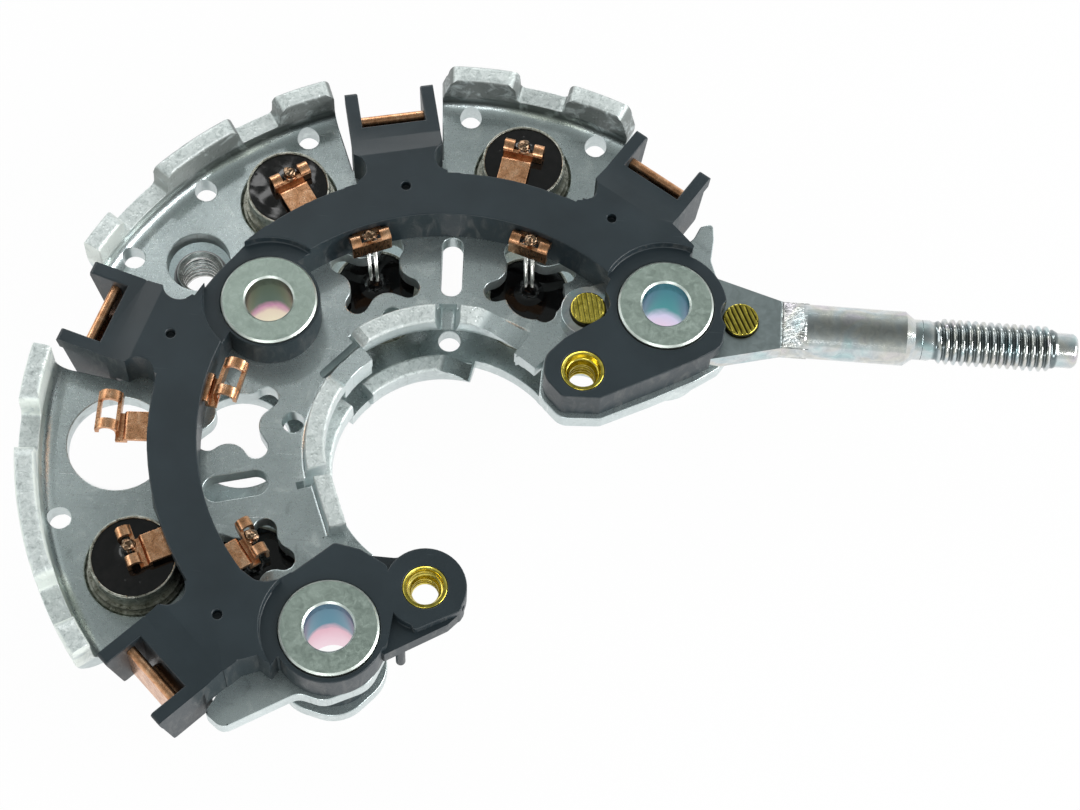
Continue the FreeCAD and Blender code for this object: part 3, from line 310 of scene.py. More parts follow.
def aluminium(name, rim_from, rim_to, tone, rim_tone, wall_shading_from=None):
    """Pressed sheet: matte scratched flats, and pitted tops above the rim's level.

    Past the radius given by the last argument, the steep faces of the folded wall get painted light
    towards the front and painted shade towards the back.
    """
    p = Paint(name, metallic=0.62)
    cloud = p.noise(0.05, 2.0, 0.5)
    blotch = p.noise(0.4, 5.0, 0.62, warp=0.8)
    grain = p.noise(5.0, 3.0, 0.7)
    dark, middle, light = (tinted(c, tone) for c in (ALUMINIUM_DARK, ALUMINIUM_MID, ALUMINIUM_LIGHT))
    flat = p.ramp(cloud, [(0.32, dark), (0.68, middle)])
    flat = p.mix(p.steps(blotch, 0.52, 0.78), flat, light)
    flat = p.mix(p.steps(blotch, 0.44, 0.24), flat, tinted(dark, 0.8))
    marks = p.scratches((12, 58, 101, 149), 0.70)
    fine_marks = p.scratches((33, 82, 124, 171), 0.66, 6.5, 0.05)
    flat = p.mix(p.times(marks, 0.55), flat, ALUMINIUM_BRIGHT)
    flat = p.mix(p.times(fine_marks, 0.35), flat, tinted(ALUMINIUM_DARK, 0.5))
    pits = p.cells(1.6, p.mapped((1, 1, 0.6)))
    stops = [(place, tinted(colour, rim_tone)) for place, colour in PITTED]
    pitted = p.ramp(p.noise(1.4, 6.0, 0.75, warp=0.8), stops)
    rim = p.steps(p.axis("Z"), rim_from, rim_to)
    bright = p.math("MAXIMUM", rim, p.times(p.upright(0.55, 0.25), 0.25))
    colour = p.mix(bright, flat, pitted)
    if wall_shading_from is not None:
        # painted light and shade: the folded wall's steep faces are painted pale towards the front and
        # dark towards the back
        past = p.steps(p.from_line(RING, (1.0, 1.0, 0.0)), wall_shading_from, wall_shading_from + 0.6)
        above = p.steps(p.axis("Z"), WALL_SHADING_Z, WALL_SHADING_Z + 0.5)
        wall = p.times(p.upright(0.80, 0.60), past, above)
        side = p.mix(p.steps(p.axis("Y"), -2.0, 20.0), WALL_PAINTED_LIGHT, WALL_SHADE)
        side = p.mix(p.steps(blotch, 0.50, 0.75), side, tinted(ALUMINIUM_MID, 0.8))
        colour = p.mix(p.times(wall, 0.9), colour, side)
    rough = p.math("ADD", p.steps(grain, 0.2, 0.8, 0.26, 0.31), p.times(marks, -0.08))
    rough = p.math("ADD", rough, p.times(bright, 0.18))
    p.bump(p.times(grain, p.steps(bright, 0.0, 1.0, 0.03, 1.0)), 0.3, 0.03)
    p.bump(p.noise(0.5, 2.0, 0.5), 0.16, 0.10)
    p.bump(p.times(p.steps(pits, 0.12, 0.38), bright), 0.5, 0.08)
    p.bump(marks, 0.3, -0.02)
    return p.done(colour, rough, p.steps(bright, 0.0, 1.0, 0.85, 0.35))


def moulding():
    """Satin black moulding with scuffed sides."""
    p = Paint("black_moulding_satin")
    fine = p.noise(9.0, 3.0, 0.65)
    base = p.ramp(p.noise(0.12, 3.0, 0.55), BLACK)
    scuff = p.steps(p.noise(0.6, 5.0, 0.7, p.mapped((1, 1, 0.35)), 1.2), 0.45, 0.72)
    base = p.mix(p.times(p.upright(0.7, 0.2), p.times(scuff, 0.55)), base, BLACK_SCUFF)
    base = p.mix(p.times(p.scratches((24, 77, 132), 0.72, 4.0, 0.14), 0.30), base, BLACK_SCRATCH)
    p.bump(fine, 0.18, 0.02)
    p.bump(p.noise(1.2, 3.0, 0.6), 0.12, 0.05)
    return p.done(base, p.steps(fine, 0.25, 0.75, 0.36, 0.50))


def copper():
    """Rolled strip with darker clouds."""
    p = Paint("copper_strip", metallic=1.0)
    base = p.ramp(p.noise(0.9, 4.0, 0.6, warp=0.5), COPPER)
    fine = p.noise(6.0, 4.0, 0.6, p.mapped((1, 1, 0.2)))
    p.bump(fine, 0.25, 0.015)
    return p.done(base, p.steps(fine, 0.25, 0.75, 0.22, 0.38))


def stud_finish():
    """Bright zinc with faint interference colours, dull on the blade, with painted shade in the roots of
    the thread.
    """
    p = Paint("stud_zinc", metallic=1.0)
    blotch = p.noise(0.8, 4.0, 0.6, warp=0.8)
    film = p.ramp(p.noise(0.22, 2.0, 0.5, warp=1.0), ZINC_FILM)
    colour = p.mix(0.55, p.ramp(blotch, ZINC), film, "MULTIPLY")
    along = p.axis("X")
    blade = p.times(p.steps(along, BLADE_END + 0.1, BLADE_END - 0.2), p.steps(p.facing("Z"), 0.8, 0.95),
                    p.steps(along, DULL_START, DULL_START + 2.0))
    colour = p.mix(blade, colour, p.ramp(blotch, BLADE_ZINC))
    # painted shade: the roots of the thread are darkened
    radius = p.from_line(STUD_AXIS, (0.0, 1.0, 1.0))
    root = p.times(p.steps(along, THREAD_START - 0.4, THREAD_START + 0.1), p.steps(radius, 2.80, 2.45),
                   p.steps(along, THREAD_END + 0.4, THREAD_END))
    colour = p.mix(p.times(root, 0.8), colour, THREAD_ROOT_SHADE)
    fine = p.noise(7.0, 4.0, 0.65)
    p.bump(fine, 0.2, 0.02)
    ripple = p.noise(1.0, 3.0, 0.6, p.mapped((0.35, 2.6, 0.35)), 0.4)
    slope = p.times(p.steps(along, BLADE_END - 0.3, BLADE_END + 0.2),
                    p.steps(along, SLOPE_END + 0.4, SLOPE_END - 0.1))
    p.bump(p.times(ripple, slope), 0.8, 0.35)
    rough = p.steps(fine, 0.25, 0.75, 0.08, 0.17)
    return p.done(colour, p.math("ADD", rough, p.times(blade, 0.2)))


def bush_finish():
    """Shoulder painted dark as shade, and bright thread."""
    p = Paint("bush_zinc", metallic=1.0)
    radius = p.from_line(BUSH, (1.0, 1.0, 0.0))
    bright = p.ramp(p.noise(1.2, 4.0, 0.6), BUSH_BRIGHT)
    # painted shade on the shoulder, which sits down in the sheet's hole
    colour = p.mix(p.steps(radius, 2.95, 3.15), bright, BUSH_SHADE)
    p.bump(p.noise(6.0, 3.0, 0.6), 0.2, 0.02)
    return p.done(colour, 0.2)


def collar_finish(name, centre, film):
    """Greenish zinc face with ring marks, a painted highlight on its upright rim, and in the bore the
    film's colour darkened as painted shade.
    """
    p = Paint(name, metallic=1.0)
    radius = p.from_line((*centre, 0.0), (1.0, 1.0, 0.0))
    around = p.vec("MULTIPLY", p.combined(radius, 0.0, 0.0), (9.0, 1.0, 1.0))
    rings = p.noise(1.0, 4.0, 0.7, around)
    mottle = p.noise(1.1, 5.0, 0.7, warp=1.0)
    colour = p.mix(p.steps(rings, 0.52, 0.7), p.ramp(mottle, COLLAR), COLLAR_RING)
    # painted highlight on the collar's upright rim
    colour = p.mix(p.times(p.upright(0.97, 0.8), 0.7), colour, COLLAR_RIM_HIGHLIGHT)
    inside = p.steps(radius, BORE_EDGE_R + 0.15, BORE_EDGE_R)
    # painted shade: the collar's bore wall takes the bore's darkened top colour
    colour = p.mix(p.times(inside, p.upright(0.5, 0.2)), colour, film)
    p.bump(rings, 0.30, 0.04)
    p.bump(mottle, 0.25, 0.04)
    return p.done(colour, p.steps(mottle, 0.3, 0.7, 0.34, 0.48))


def bore_film_light_shade(name, stops):
    """Inside of a sleeve: zinc with an interference colour that runs up it, painted bright at the foot as
    a painted reflection and dark at the top as painted shade.
    """
    p = Paint(name, metallic=1.0)
    # painted reflection at the foot and painted shade at the top, on the hues of the zinc film
    height = p.math("ADD", p.axis("Z"), p.times(p.noise(0.5, 2.0), 2.0))
    p.bump(p.noise(6.0, 3.0, 0.6), 0.15, 0.02)
    return p.done(p.ramp(p.steps(height, 0, BORE_SHADING_TOP), stops), 0.28)


def brass(name, groove_top=None):
    """Turned brass; below groove_top the grooves of a rivet head get painted shade."""
    p = Paint(name, metallic=1.0)
    base = p.ramp(p.noise(1.3, 4.0, 0.6, warp=0.6), BRASS)
    if groove_top is not None:
        # painted shade: below groove_top the rivet's grooves are painted near black
        base = p.mix(p.steps(p.axis("Z"), groove_top, groove_top - 0.16), base, BRASS_GROOVE_SHADE)
    p.bump(p.noise(8.0, 3.0, 0.6), 0.08, 0.015)
    return p.done(base, p.steps(p.noise(2.0), 0.3, 0.7, 0.16, 0.24))


def epoxy():
    """Glossy black potting with small bubbles and a wavy skin."""
    p = Paint("potting_epoxy", rough=0.08)
    base = p.ramp(p.noise(0.9, 3.0), POTTING)
    p.bump(p.noise(0.30, 1.0, 0.4, warp=0.3), 0.3, 0.30)
    p.bump(p.steps(p.cells(0.55), 0.05, 0.14), 0.25, 0.08)
    return p.done(base, p.steps(p.noise(2.0), 0.3, 0.8, 0.05, 0.10))


def cup_finish():
    """Nickel cup, tarnished to olive in patches."""
    p = Paint("diode_cup_metal", metallic=1.0)
    mottle = p.noise(1.4, 4.0, 0.65, warp=0.6)
    p.bump(p.noise(6.0, 4.0), 0.3, 0.03)
    return p.done(p.ramp(mottle, CUP), p.steps(mottle, 0.3, 0.7, 0.24, 0.40))


def solder_finish():
    """Dull solder, browned by its flux."""
    p = Paint("solder_dark", metallic=1.0)
    mottle = p.noise(1.8, 4.0, 0.65, warp=1.2)
    p.bump(mottle, 0.5, 0.12)
    return p.done(p.ramp(mottle, SOLDER), 0.2)


def wire_finish():
    """Bright tinned wire."""
    p = Paint("tinned_wire_metal", metallic=1.0)
    mottle = p.noise(2.0, 3.0, 0.6)
    p.bump(mottle, 0.3, 0.04)
    return p.done(p.ramp(mottle, TINNED), 0.2)


def silicon():
    """Chip inside a diode cup."""
    p = Paint("silicon_chip", metallic=0.3)
    return p.done(p.ramp(p.noise(2.0), SILICON), 0.3)


# Sizes of the output stud's thread, in millimetres along X from the right mount

STUD_CUT = 33.2                            # the thread's own piece starts here
THREAD_START = 34.8
THREAD_END = 50.3
STUD_NECK = [(STUD_CUT, 2.6), (34.2, 2.6), (34.5, 2.45)]
STUD_TIP = [(50.5, 2.32), (50.7, 2.22), (52.7, 2.22), (53.05, 2.0), (53.2, 1.8)]


# Finish on the CAD nodes

black = moulding()
stud_zinc = stud_finish()
bush_zinc = bush_finish()
cup_metal = cup_finish()
wire = wire_finish()
gloss = epoxy()
solder = solder_finish()
copper_metal = copper()
brass_metal = brass("brass_turned")
rivet_metal = brass("brass_rivet", RIVET_TOP)
FINISH = {
    "positive_heat_sink": aluminium("aluminium_upper", rim_from=11.55, rim_to=12.15, tone=1.0,
                                    rim_tone=1.0, wall_shading_from=WALL_SHADING_R),
    # painted light: rim_tone 1.2 makes the lower sheet's pitted rim lighter, against the shade that the
    # upper sheet casts on it
    "negative_heat_sink": aluminium("aluminium_lower", rim_from=4.7, rim_to=5.2, tone=0.95,
                                    rim_tone=1.2),
    "terminal_block": black,
    "output_stud": stud_zinc,
    "threaded_bush": bush_zinc,
    "diode_chips": silicon(),
    "stud_rivet_inner": rivet_metal,
    "stud_rivet_outer": rivet_metal,
    "regulator_insert_upper": brass_metal,
    "regulator_insert_lower": brass_metal,
}
for name, centre in MOUNTS.items():
    FINISH["mount_collar_" + name] = collar_finish("collar_zinc_" + name, centre, BORE_TOP_FILM_IN_SHADE[name])
    FINISH["mount_sleeve_" + name] = bore_film_light_shade("bore_film_light_shade_" + name, BORE_FILM_LIGHT_SHADE[name])
    FINISH["insulator_spacer_" + name] = black
for name in TERMINALS:
    FINISH[name] = copper_metal
for kind, number in DIODES:
    FINISH[f"{kind}_diode_cup_{number}"] = cup_metal
    FINISH[f"{kind}_diode_potting_{number}"] = gloss
    FINISH[f"{kind}_diode_lead_{number}"] = wire

for name, node in frame["nodes"].items():
    for place in node.material_slots:
        place.material = FINISH[name]


# Pieces that stand for CAD nodes, with the edges and threads that the solids leave out

CREASE_ANGLE = 34.0       # shading breaks where two faces meet at more than this
ROUND_ANGLE = 62.0        # the same on the faces of a small round
ALL_SMOOTH = 180.0        # no break at all, for pieces with normals of their own
EDGE_ANGLE = 40.0         # edges that turn less than this get no round
BEVEL_TRIES = 3
VERT_REACH = 1.3          # in widths of the round: how far a vertex may leave the old skin
FACE_REACH = 0.9          # the same for the middle of a face
FOLDED = -0.3             # cosine below which a face has turned over
FOLDED_GAP = 0.2          # distance that is counted for such a face, in millimetres
BLOCK_ROUND = 0.20
SHEET_ROUND = 0.16
STUD_ROUND = 0.12
COPPER_ROUND = 0.07
RELIEF_AT = (-10.0, -7.8) # round hole in the lower sheet that its solid doesn't have
RELIEF_R = 3.9


def settle(bm, name, metal, slot, *nodes, sharp=CREASE_ANGLE):
    """Turn a bmesh into a smooth shaded piece on the part's body."""
    for face in bm.faces:
        face.smooth = True
    mesh = bpy.data.meshes.new(name)
    bm.to_mesh(mesh)
    bm.free()
    mesh.set_sharp_from_angle(angle=math.radians(sharp))
    mesh.materials.append(metal)
    piece = bpy.data.objects.new(name, mesh)
    bpy.context.scene.collection.objects.link(piece)
    bpy.context.view_layer.update()
    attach(piece, "root")
    if nodes:
        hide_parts(*nodes)
    return piece


def cad_copy(node):
    """A welded copy of a CAD node's mesh, in the part's frame."""
    source = frame["nodes"][node]
    bm = bmesh.new()
    bm.from_mesh(source.data)
    bm.transform(source.matrix_world)
    bmesh.ops.remove_doubles(bm, verts=bm.verts, dist=0.002 * MM)
    return bm


def cut_by_plane(bm, spot, normal, weld, clear=False):
    """Cut a bmesh along a plane, and with clear drop what lies past it."""
    bmesh.ops.bisect_plane(bm, geom=bm.verts[:] + bm.edges[:] + bm.faces[:], dist=weld,
                           plane_co=spot, plane_no=normal, clear_outer=clear)


def many_sided(bm):
    return [face for face in bm.faces if len(face.verts) > 4]


def shading_normals(bm, new):
    """Loop normals: old faces keep theirs, and the rounds blend from one to the next."""
    area = {face: face.calc_area() for face in bm.faces}
    normals = []
    for face in bm.faces:
        limit = math.cos(math.radians(ROUND_ANGLE if face[new] else CREASE_ANGLE))
        for loop in face.loops:
            near = [f for f in loop.vert.link_faces if f.normal.dot(face.normal) > limit]
            old = [f for f in near if not f[new]]
            total = sum((f.normal * area[f] for f in old or near), Vector())
            normals.append(total.normalized() if total.length > 0 else face.normal.copy())
    return normals


def strays(bm, skin, width):
    """Places where a bevel left the skin it started from, or folded a face over."""
    wrong = []
    for vert in bm.verts:
        gap = skin.find_nearest(vert.co)[3]
        if gap > VERT_REACH * width * MM:
            wrong.append((gap, vert.co.copy()))
    for face in bm.faces:
        middle = face.calc_center_median()
        _, facing, _, gap = skin.find_nearest(middle)
        if gap > FACE_REACH * width * MM:
            wrong.append((gap, middle))
        if facing.dot(face.normal) < FOLDED:
            wrong += [(FOLDED_GAP * MM, vert.co.copy()) for vert in face.verts]
    return wrong


def round_edges(bm, width):
    """Small rounds on clear edges; edges whose round would go astray stay sharp."""
    skin = BVHTree.FromBMesh(bm)
    kept = []
    for attempt in range(BEVEL_TRIES):
        trial = bm.copy()
        new = trial.faces.layers.int.new("new_face")
        chosen = []
        for edge in trial.edges:
            if len(edge.link_faces) != 2 or edge.calc_face_angle() < math.radians(EDGE_ANGLE):
                continue
            ends = [vert.co for vert in edge.verts]
            if not any((end - spot).length < reach for end in ends for reach, spot in kept):
                chosen.append(edge)
        made = bmesh.ops.bevel(trial, geom=chosen, offset=width * MM, segments=2, profile=0.5,
                               affect="EDGES", clamp_overlap=False)
        for face in made["faces"]:
            face[new] = 1
        bmesh.ops.triangulate(trial, faces=many_sided(trial))
        trial.normal_update()
        wrong = strays(trial, skin, width)
        if not wrong:
            break
        kept += [(1.6 * gap + 0.6 * MM, spot) for gap, spot in wrong]
        if attempt < BEVEL_TRIES - 1:
            trial.free()
    for vert in trial.verts:
        spot, _, _, gap = skin.find_nearest(vert.co)
        if gap > VERT_REACH * width * MM:
            vert.co = spot
    trial.normal_update()
    return trial


def softened(node, width, slot, bm=None, name=None):
    """Copy of a CAD node, or the mesh given, with small rounds on its edges."""
    bm = round_edges(bm or cad_copy(node), width)
    normals = shading_normals(bm, bm.faces.layers.int["new_face"])
    piece = settle(bm, name or node + "_edged", FINISH[node], slot, node, sharp=ALL_SMOOTH)
    piece.data.normals_split_custom_set(normals)


def drilled(node, centre, radius, z0, z1):
    """Copy of a CAD node with one more round hole through it."""
    base = bpy.data.meshes.new("drilled_base")
    bm = cad_copy(node)
    bm.to_mesh(base)
    bm.free()
    tool = bmesh.new()
    middle = Vector((*centre, (z0 + z1) / 2)) * MM
    bmesh.ops.create_cone(tool, cap_ends=True, segments=48, radius1=radius * MM,
                          radius2=radius * MM, depth=(z1 - z0) * MM,
                          matrix=Matrix.Translation(middle))
    cutter = bpy.data.meshes.new("drilled_tool")
    tool.to_mesh(cutter)
    tool.free()
    things = [bpy.data.objects.new(mesh.name, mesh) for mesh in (base, cutter)]
    for thing in things:
        bpy.context.scene.collection.objects.link(thing)
    cut = things[0].modifiers.new("hole", "BOOLEAN")
    cut.operation = "DIFFERENCE"
    cut.object = things[1]
    cut.solver = "EXACT"
    seen = things[0].evaluated_get(bpy.context.evaluated_depsgraph_get())
    bm = bmesh.new()
    bm.from_mesh(seen.to_mesh())
    seen.to_mesh_clear()
    for thing in things:
        bpy.data.objects.remove(thing)
    for mesh in (base, cutter):
        bpy.data.meshes.remove(mesh)
    bmesh.ops.triangulate(bm, faces=many_sided(bm))
    return bm


softened("terminal_block", BLOCK_ROUND, "black_moulding")
softened("positive_heat_sink", SHEET_ROUND, "pressed_aluminium")
softened("negative_heat_sink", SHEET_ROUND, "pressed_aluminium",
         drilled("negative_heat_sink", RELIEF_AT, RELIEF_R, -1.0, 4.0))
for name in TERMINALS:
    softened(name, COPPER_ROUND, "copper")


# Threads and other turned pieces

THREAD_CREASE = 50.0
THREAD_PARTS = 10         # rings for each turn of a thread


def wave(turns):
    """Trapezoid thread form over one pitch: 0 at the root, 1 at the crest."""
    part = abs(2.0 * (turns % 1.0) - 1.0)
    return min(max((part - 0.2) / 0.55, 0.0), 1.0)


def lathe(rings, origin, along, across, pitch=1.0, count=48, closed=False):
    """Turn rings of (place along the axis, radius, thread height) into a solid skin."""
    third = along.cross(across)
    bm = bmesh.new()
    rows = []
    for place, radius, height in rings:
        row = []
        for j in range(count):
            turn = j / count
            r = radius + (height * wave(place / pitch - turn) if height else 0.0)
            angle = 2.0 * math.pi * turn
            spot = origin + along * place + (across * math.cos(angle) + third * math.sin(angle)) * r
            row.append(bm.verts.new(spot * MM))
        rows.append(row)
    pairs = list(zip(rows, rows[1:]))
    if closed:
        pairs.append((rows[-1], rows[0]))
    for here, after in pairs:
        for j in range(count):
            k = (j + 1) % count
            bm.faces.new((here[j], here[k], after[k], after[j]))
    if not closed:
        bm.faces.new(list(reversed(rows[0])))
        bm.faces.new(rows[-1])
    bmesh.ops.recalc_face_normals(bm, faces=bm.faces)
    return bm


def plain(profile):
    """Rings with no thread, from (place, radius) points."""
    return [(place, radius, 0.0) for place, radius in profile]


def thread(start, end, root, height, pitch, runout):
    """Rings of a thread that fades in and out over the runout, in turns."""
    rings = []
    steps = round(abs(end - start) * THREAD_PARTS / pitch)
    for i in range(steps + 1):
        place = start + (end - start) * i / steps
        fade = min(abs(place - start), abs(end - place)) / (runout * pitch)
        rings.append((place, root, height * min(fade, 1.0)))
    return rings


def threaded_stud():
    """Output stud in two pieces: the CAD shank with rounded edges, and the threaded end."""
    shank = cad_copy("output_stud")
    cut_by_plane(shank, Vector((STUD_CUT, 0, 0)) * MM, X_AXIS, 1e-7, clear=True)
    bmesh.ops.holes_fill(shank, edges=[edge for edge in shank.edges if edge.is_boundary])
    softened("output_stud", STUD_ROUND, "zinc_steel", shank, "output_stud_shank")
    rod = plain(STUD_NECK) + thread(THREAD_START, THREAD_END, 2.42, 0.53, 1.0, 1.0) + plain(STUD_TIP)
    settle(lathe(rod, STUD_AXIS, X_AXIS, Y_AXIS), "output_stud_thread", stud_zinc, "zinc_steel",
           "output_stud", sharp=THREAD_CREASE)


def threaded_insert(node, centre, height, step):
    """Brass insert with a stepped mouth and a fine thread in its bore."""
    z0, z1 = BOSS_TOP - height, BOSS_TOP
    outside = [(z0, 2.75), (z1 - 0.1, 2.75), (z1, 2.65), (z1, 2.3)]
    mouth = [(z1 - 0.12, 2.22), (z1 - step * 0.55, 2.12), (z1 - step * 0.6, 2.0), (z1 - step, 1.95),
             (z1 - step - 0.25, 1.7)]
    rings = plain(outside + mouth)
    rings += thread(z1 - step - 0.4, z0 + 0.3, 1.65, 0.25, 0.7, 0.6)
    rings += plain([(z0, 1.95)])
    bm = lathe(rings, Vector((*centre, 0.0)), Z_AXIS, X_AXIS, 0.7, 40, True)
    settle(bm, node + "_threaded", brass_metal, "brass", node, sharp=THREAD_CREASE)


def threaded_bush():
    """Bush with a sloping shoulder, a countersunk mouth and a coarse thread."""
    outside = [(0.0, 3.9), (2.9, 3.9), (4.6, 3.72), (5.6, 3.6), (6.3, 3.4), (6.7, 3.15), (6.8, 2.95)]
    mouth = [(6.7, 2.85), (6.2, 2.6)]
    rings = plain(outside + mouth) + thread(6.1, 0.6, 2.5, 0.42, 1.0, 0.5) + plain([(0.0, 2.9)])
    settle(lathe(rings, BUSH, Z_AXIS, X_AXIS, closed=True), "threaded_bush_cut", bush_zinc,
           "zinc_steel", "threaded_bush", sharp=THREAD_CREASE)


def scored_rivet(node, centre_x, turn, pitch, half, depth):
    """Rivet head with parallel scored grooves."""
    bm = cad_copy(node)
    top = max(vert.co.z for vert in bm.verts)
    middle = Vector((centre_x, STUD_AXIS.y, 0.0)) * MM
    lay = Vector((-math.sin(math.radians(turn)), math.cos(math.radians(turn)), 0.0))
    for k in range(-3, 4):
        for offset in (-half, 0.0, half):
            cut_by_plane(bm, middle + lay * ((k * pitch + offset) * MM), lay, 1e-8)
    for vert in bm.verts:
        place = (vert.co - middle).dot(lay) / MM
        if vert.co.z > top - 0.03 * MM and abs(place / pitch - round(place / pitch)) < 0.01:
            if abs(place) < 3.5 * pitch:
                vert.co.z -= depth * MM
    settle(bm, node + "_scored", rivet_metal, "brass", node, sharp=25.0)


threaded_stud()
threaded_insert("regulator_insert_upper", (-10.03, -9.96), height=5.0, step=1.6)
threaded_insert("regulator_insert_lower", (-27.39, -40.44), height=3.8, step=1.4)
threaded_bush()
scored_rivet("stud_rivet_outer", RIVET_X, turn=-64.0, pitch=0.62, half=0.22, depth=0.20)
scored_rivet("stud_rivet_inner", -RIVET_X, turn=-78.0, pitch=0.62, half=0.16, depth=0.10)


# Leads, solder and the skin of potting round each lead

STRAND_APART = 0.42
STRAND_THINNER = 0.28
SOLDER_SIZE = (0.85, 0.75, 0.55)
# Height above the potting and radius of the skin that climbs a lead
MENISCUS = [(-0.3, 2.1), (0.0, 2.0), (0.10, 1.5), (0.28, 1.1), (0.55, 0.85), (0.9, 0.72), (1.15, 0.62)]


def strands(node):
    """A lead drawn as two thinner strands side by side."""
    bm = cad_copy(node)
    bm.normal_update()
    twin = bm.copy()
    for half, sign in ((bm, -1.0), (twin, 1.0)):
        aside = Vector((sign * STRAND_APART, 0.0, 0.0)) * MM
        for vert in half.verts:
            vert.co = vert.co - vert.normal * STRAND_THINNER * MM + aside
    mesh = bpy.data.meshes.new("twin_strand")
    twin.to_mesh(mesh)
    twin.free()
    bm.from_mesh(mesh)
    bpy.data.meshes.remove(mesh)
    settle(bm, node + "_strands", wire, "tinned_wire", node)


def solder_lump(name, centre, seed):
    """Uneven drop of solder that holds a lead in its hook."""
    bm = bmesh.new()
    bmesh.ops.create_icosphere(bm, subdivisions=4, radius=1.0)
    for vert in bm.verts:
        way = vert.co.normalized()
        swell = 1.0 + 0.28 * noise.noise(way * 1.4 + Vector((seed, 0.0, 0.0)))
        swell += 0.10 * noise.noise(way * 4.0 + Vector((0.0, seed, 0.0)))
        vert.co = (centre + Vector(way[i] * SOLDER_SIZE[i] for i in range(3)) * swell) * MM
    settle(bm, name, solder, "tinned_wire", sharp=ALL_SMOOTH)


def lead_tip(lead):
    """Middle of the top of a lead."""
    spots = [vert.co for vert in frame["nodes"][lead].data.vertices]
    top = max(spot.z for spot in spots)
    high = [spot for spot in spots if spot.z > top - 0.3 * MM]
    return sum(high, Vector()) / len(high) / MM


def crossing(node, z):
    """Middle of the outline in which a CAD node crosses a level."""
    mesh = frame["nodes"][node].data
    spots = []
    for edge in mesh.edges:
        a, b = (mesh.vertices[i].co / MM for i in edge.vertices)
        if (a.z - z) * (b.z - z) < 0:
            spots.append(a.lerp(b, (z - a.z) / (b.z - a.z)))
    return sum(spots, Vector()) / len(spots)


for number in (1, 2):
    strands(f"negative_diode_lead_{number}")
for kind, number in DIODES:
    lead = f"{kind}_diode_lead_{number}"
    tip = lead_tip(lead)
    seed = 3.0 * (number - 1) + KINDS.index(kind)
    solder_lump(lead + "_solder", Vector((tip.x, tip.y, tip.z - 0.25)), seed)
for kind, number in DIODES:
    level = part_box(f"{kind}_diode_potting_{number}")[1].z / MM
    foot = crossing(f"{kind}_diode_lead_{number}", level + 0.2)
    ring = lathe(plain(MENISCUS), Vector((foot.x, foot.y, level)), Z_AXIS, X_AXIS, count=32)
    settle(ring, f"{kind}_diode_meniscus_{number}", gloss, "potting", sharp=60.0)


# Camera and lights

TARGET = Vector((-15.09, -15.89, 16.4)) * MM
AZIMUTH, ELEVATION, ROLL = (math.radians(angle) for angle in (-0.764, 65.69, 4.957))
DISTANCE = 0.335
LENS_MM = 89.74
SENSOR_MM = 36.0
# Each lamp: name, azimuth, elevation, distance, size and watts
LAMPS = [
    ("lamp_back", 205, 30, 0.60, (0.60, 0.16), 1.2),
    ("lamp_left", 262, 24, 0.60, (0.40, 0.20), 0.5),
    ("lamp_right", 80, 22, 0.60, (0.50, 0.20), 3.4),
    ("lamp_front", 350, 24, 0.70, (0.36, 0.16), 0.9),
    ("lamp_glint", 204.5, 56.0, 0.615, (0.08, 0.05), 0.05),
]
# Colour of the sky from the horizon up to the zenith
SKY = [(0.0, (0.78, 0.82, 0.81)), (0.40, (0.66, 0.70, 0.69)), (0.80, (0.32, 0.345, 0.34)),
       (1.0, (0.20, 0.215, 0.21))]
FLOOR_HALF = 3.0
FLOOR_Z = -0.0001
FLOOR_COLOUR = (0.82, 0.82, 0.82, 1)
FLOOR_GLOW = 0.97         # share of plain white that the camera and reflections see


def direction(azimuth, elevation):
    """From the part towards a place round it; azimuth 0 is the front, angles in radians."""
    return Vector((math.sin(azimuth) * math.cos(elevation), -math.cos(azimuth) * math.cos(elevation),
                   math.sin(elevation)))


def photo_camera():
    back = direction(AZIMUTH, ELEVATION)
    level = Vector((math.cos(AZIMUTH), math.sin(AZIMUTH), 0.0))
    upward = back.cross(level)
    right = level * math.cos(ROLL) + upward * math.sin(ROLL)
    above = upward * math.cos(ROLL) - level * math.sin(ROLL)
    lens = bpy.data.cameras.new("camera")
    lens.lens = LENS_MM
    lens.sensor_width = SENSOR_MM
    lens.clip_start = 0.01
    camera = bpy.data.objects.new("camera", lens)
    turn = Matrix((right, above, back)).transposed().to_4x4()
    camera.matrix_world = Matrix.Translation(TARGET + back * DISTANCE) @ turn
    bpy.context.scene.collection.objects.link(camera)
    bpy.context.scene.camera = camera


def softbox(name, azimuth, elevation, distance, size, watts):
    """Area lamp on a sphere round the part, aimed at it."""
    lamp = bpy.data.lights.new(name, "AREA")
    lamp.shape = "RECTANGLE"
    lamp.size, lamp.size_y = size
    lamp.energy = watts
    away = direction(math.radians(azimuth), math.radians(elevation))
    thing = bpy.data.objects.new(name, lamp)
    thing.location = TARGET + away * distance
    thing.rotation_mode = "QUATERNION"
    thing.rotation_quaternion = away.to_track_quat("Z", "Y")
    bpy.context.scene.collection.objects.link(thing)


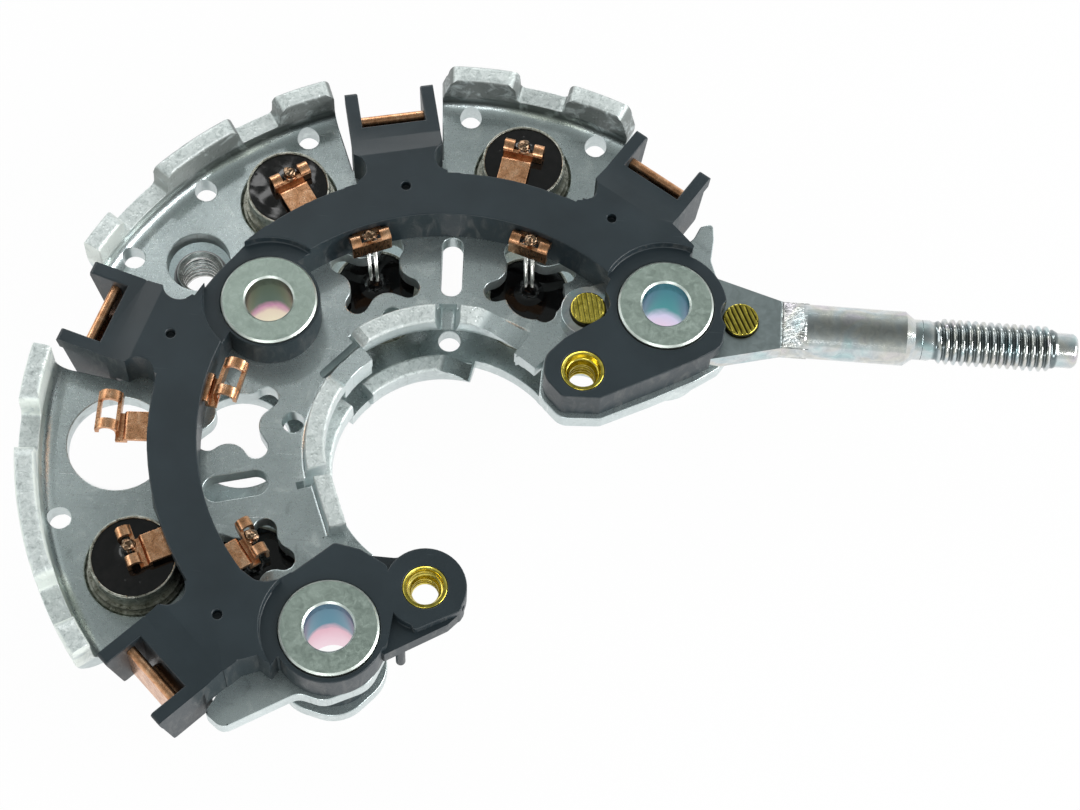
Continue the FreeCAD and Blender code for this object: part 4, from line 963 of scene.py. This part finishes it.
def studio_sky():
    """World that is bright at the horizon and darker overhead."""
    world = bpy.data.worlds.new("studio")
    world.use_nodes = True
    bpy.context.scene.world = world
    net = world.node_tree
    net.nodes.clear()
    out = net.nodes.new("ShaderNodeOutputWorld")
    sky = net.nodes.new("ShaderNodeBackground")
    coords = net.nodes.new("ShaderNodeTexCoord")
    split = net.nodes.new("ShaderNodeSeparateXYZ")
    bar = net.nodes.new("ShaderNodeValToRGB")
    net.links.new(coords.outputs["Generated"], split.inputs[0])
    net.links.new(split.outputs["Z"], bar.inputs["Fac"])
    net.links.new(bar.outputs["Color"], sky.inputs["Color"])
    net.links.new(sky.outputs[0], out.inputs[0])
    fill_ramp(bar, SKY)


def floor_paint():
    """White to the camera and in reflections, with the shadow kept."""
    mat = bpy.data.materials.new("floor_white")
    mat.use_nodes = True
    net = mat.node_tree
    net.nodes.clear()
    out = net.nodes.new("ShaderNodeOutputMaterial")
    matte = net.nodes.new("ShaderNodeBsdfDiffuse")
    matte.inputs["Color"].default_value = FLOOR_COLOUR
    glow = net.nodes.new("ShaderNodeEmission")
    path = net.nodes.new("ShaderNodeLightPath")
    seen = path.outputs["Is Camera Ray"]
    for ray in ("Is Glossy Ray", "Is Transmission Ray"):
        larger = net.nodes.new("ShaderNodeMath")
        larger.operation = "MAXIMUM"
        net.links.new(seen, larger.inputs[0])
        net.links.new(path.outputs[ray], larger.inputs[1])
        seen = larger.outputs[0]
    share = net.nodes.new("ShaderNodeMath")
    share.operation = "MULTIPLY"
    share.inputs[1].default_value = FLOOR_GLOW
    blend = net.nodes.new("ShaderNodeMixShader")
    net.links.new(seen, share.inputs[0])
    net.links.new(share.outputs[0], blend.inputs["Fac"])
    net.links.new(matte.outputs[0], blend.inputs[1])
    net.links.new(glow.outputs[0], blend.inputs[2])
    net.links.new(blend.outputs[0], out.inputs[0])
    return mat


photo_camera()
bpy.context.scene.view_settings.view_transform = "Standard"
for lamp in LAMPS:
    softbox(*lamp)
studio_sky()
CORNERS = ((-1, -1), (1, -1), (1, 1), (-1, 1))
floor_mesh = bpy.data.meshes.new("floor")
floor_mesh.from_pydata([(x * FLOOR_HALF, y * FLOOR_HALF, FLOOR_Z) for x, y in CORNERS], [], [(0, 1, 2, 3)])
floor_mesh.materials.append(floor_paint())
floor = bpy.data.objects.new("floor", floor_mesh)
bpy.context.scene.collection.objects.link(floor)
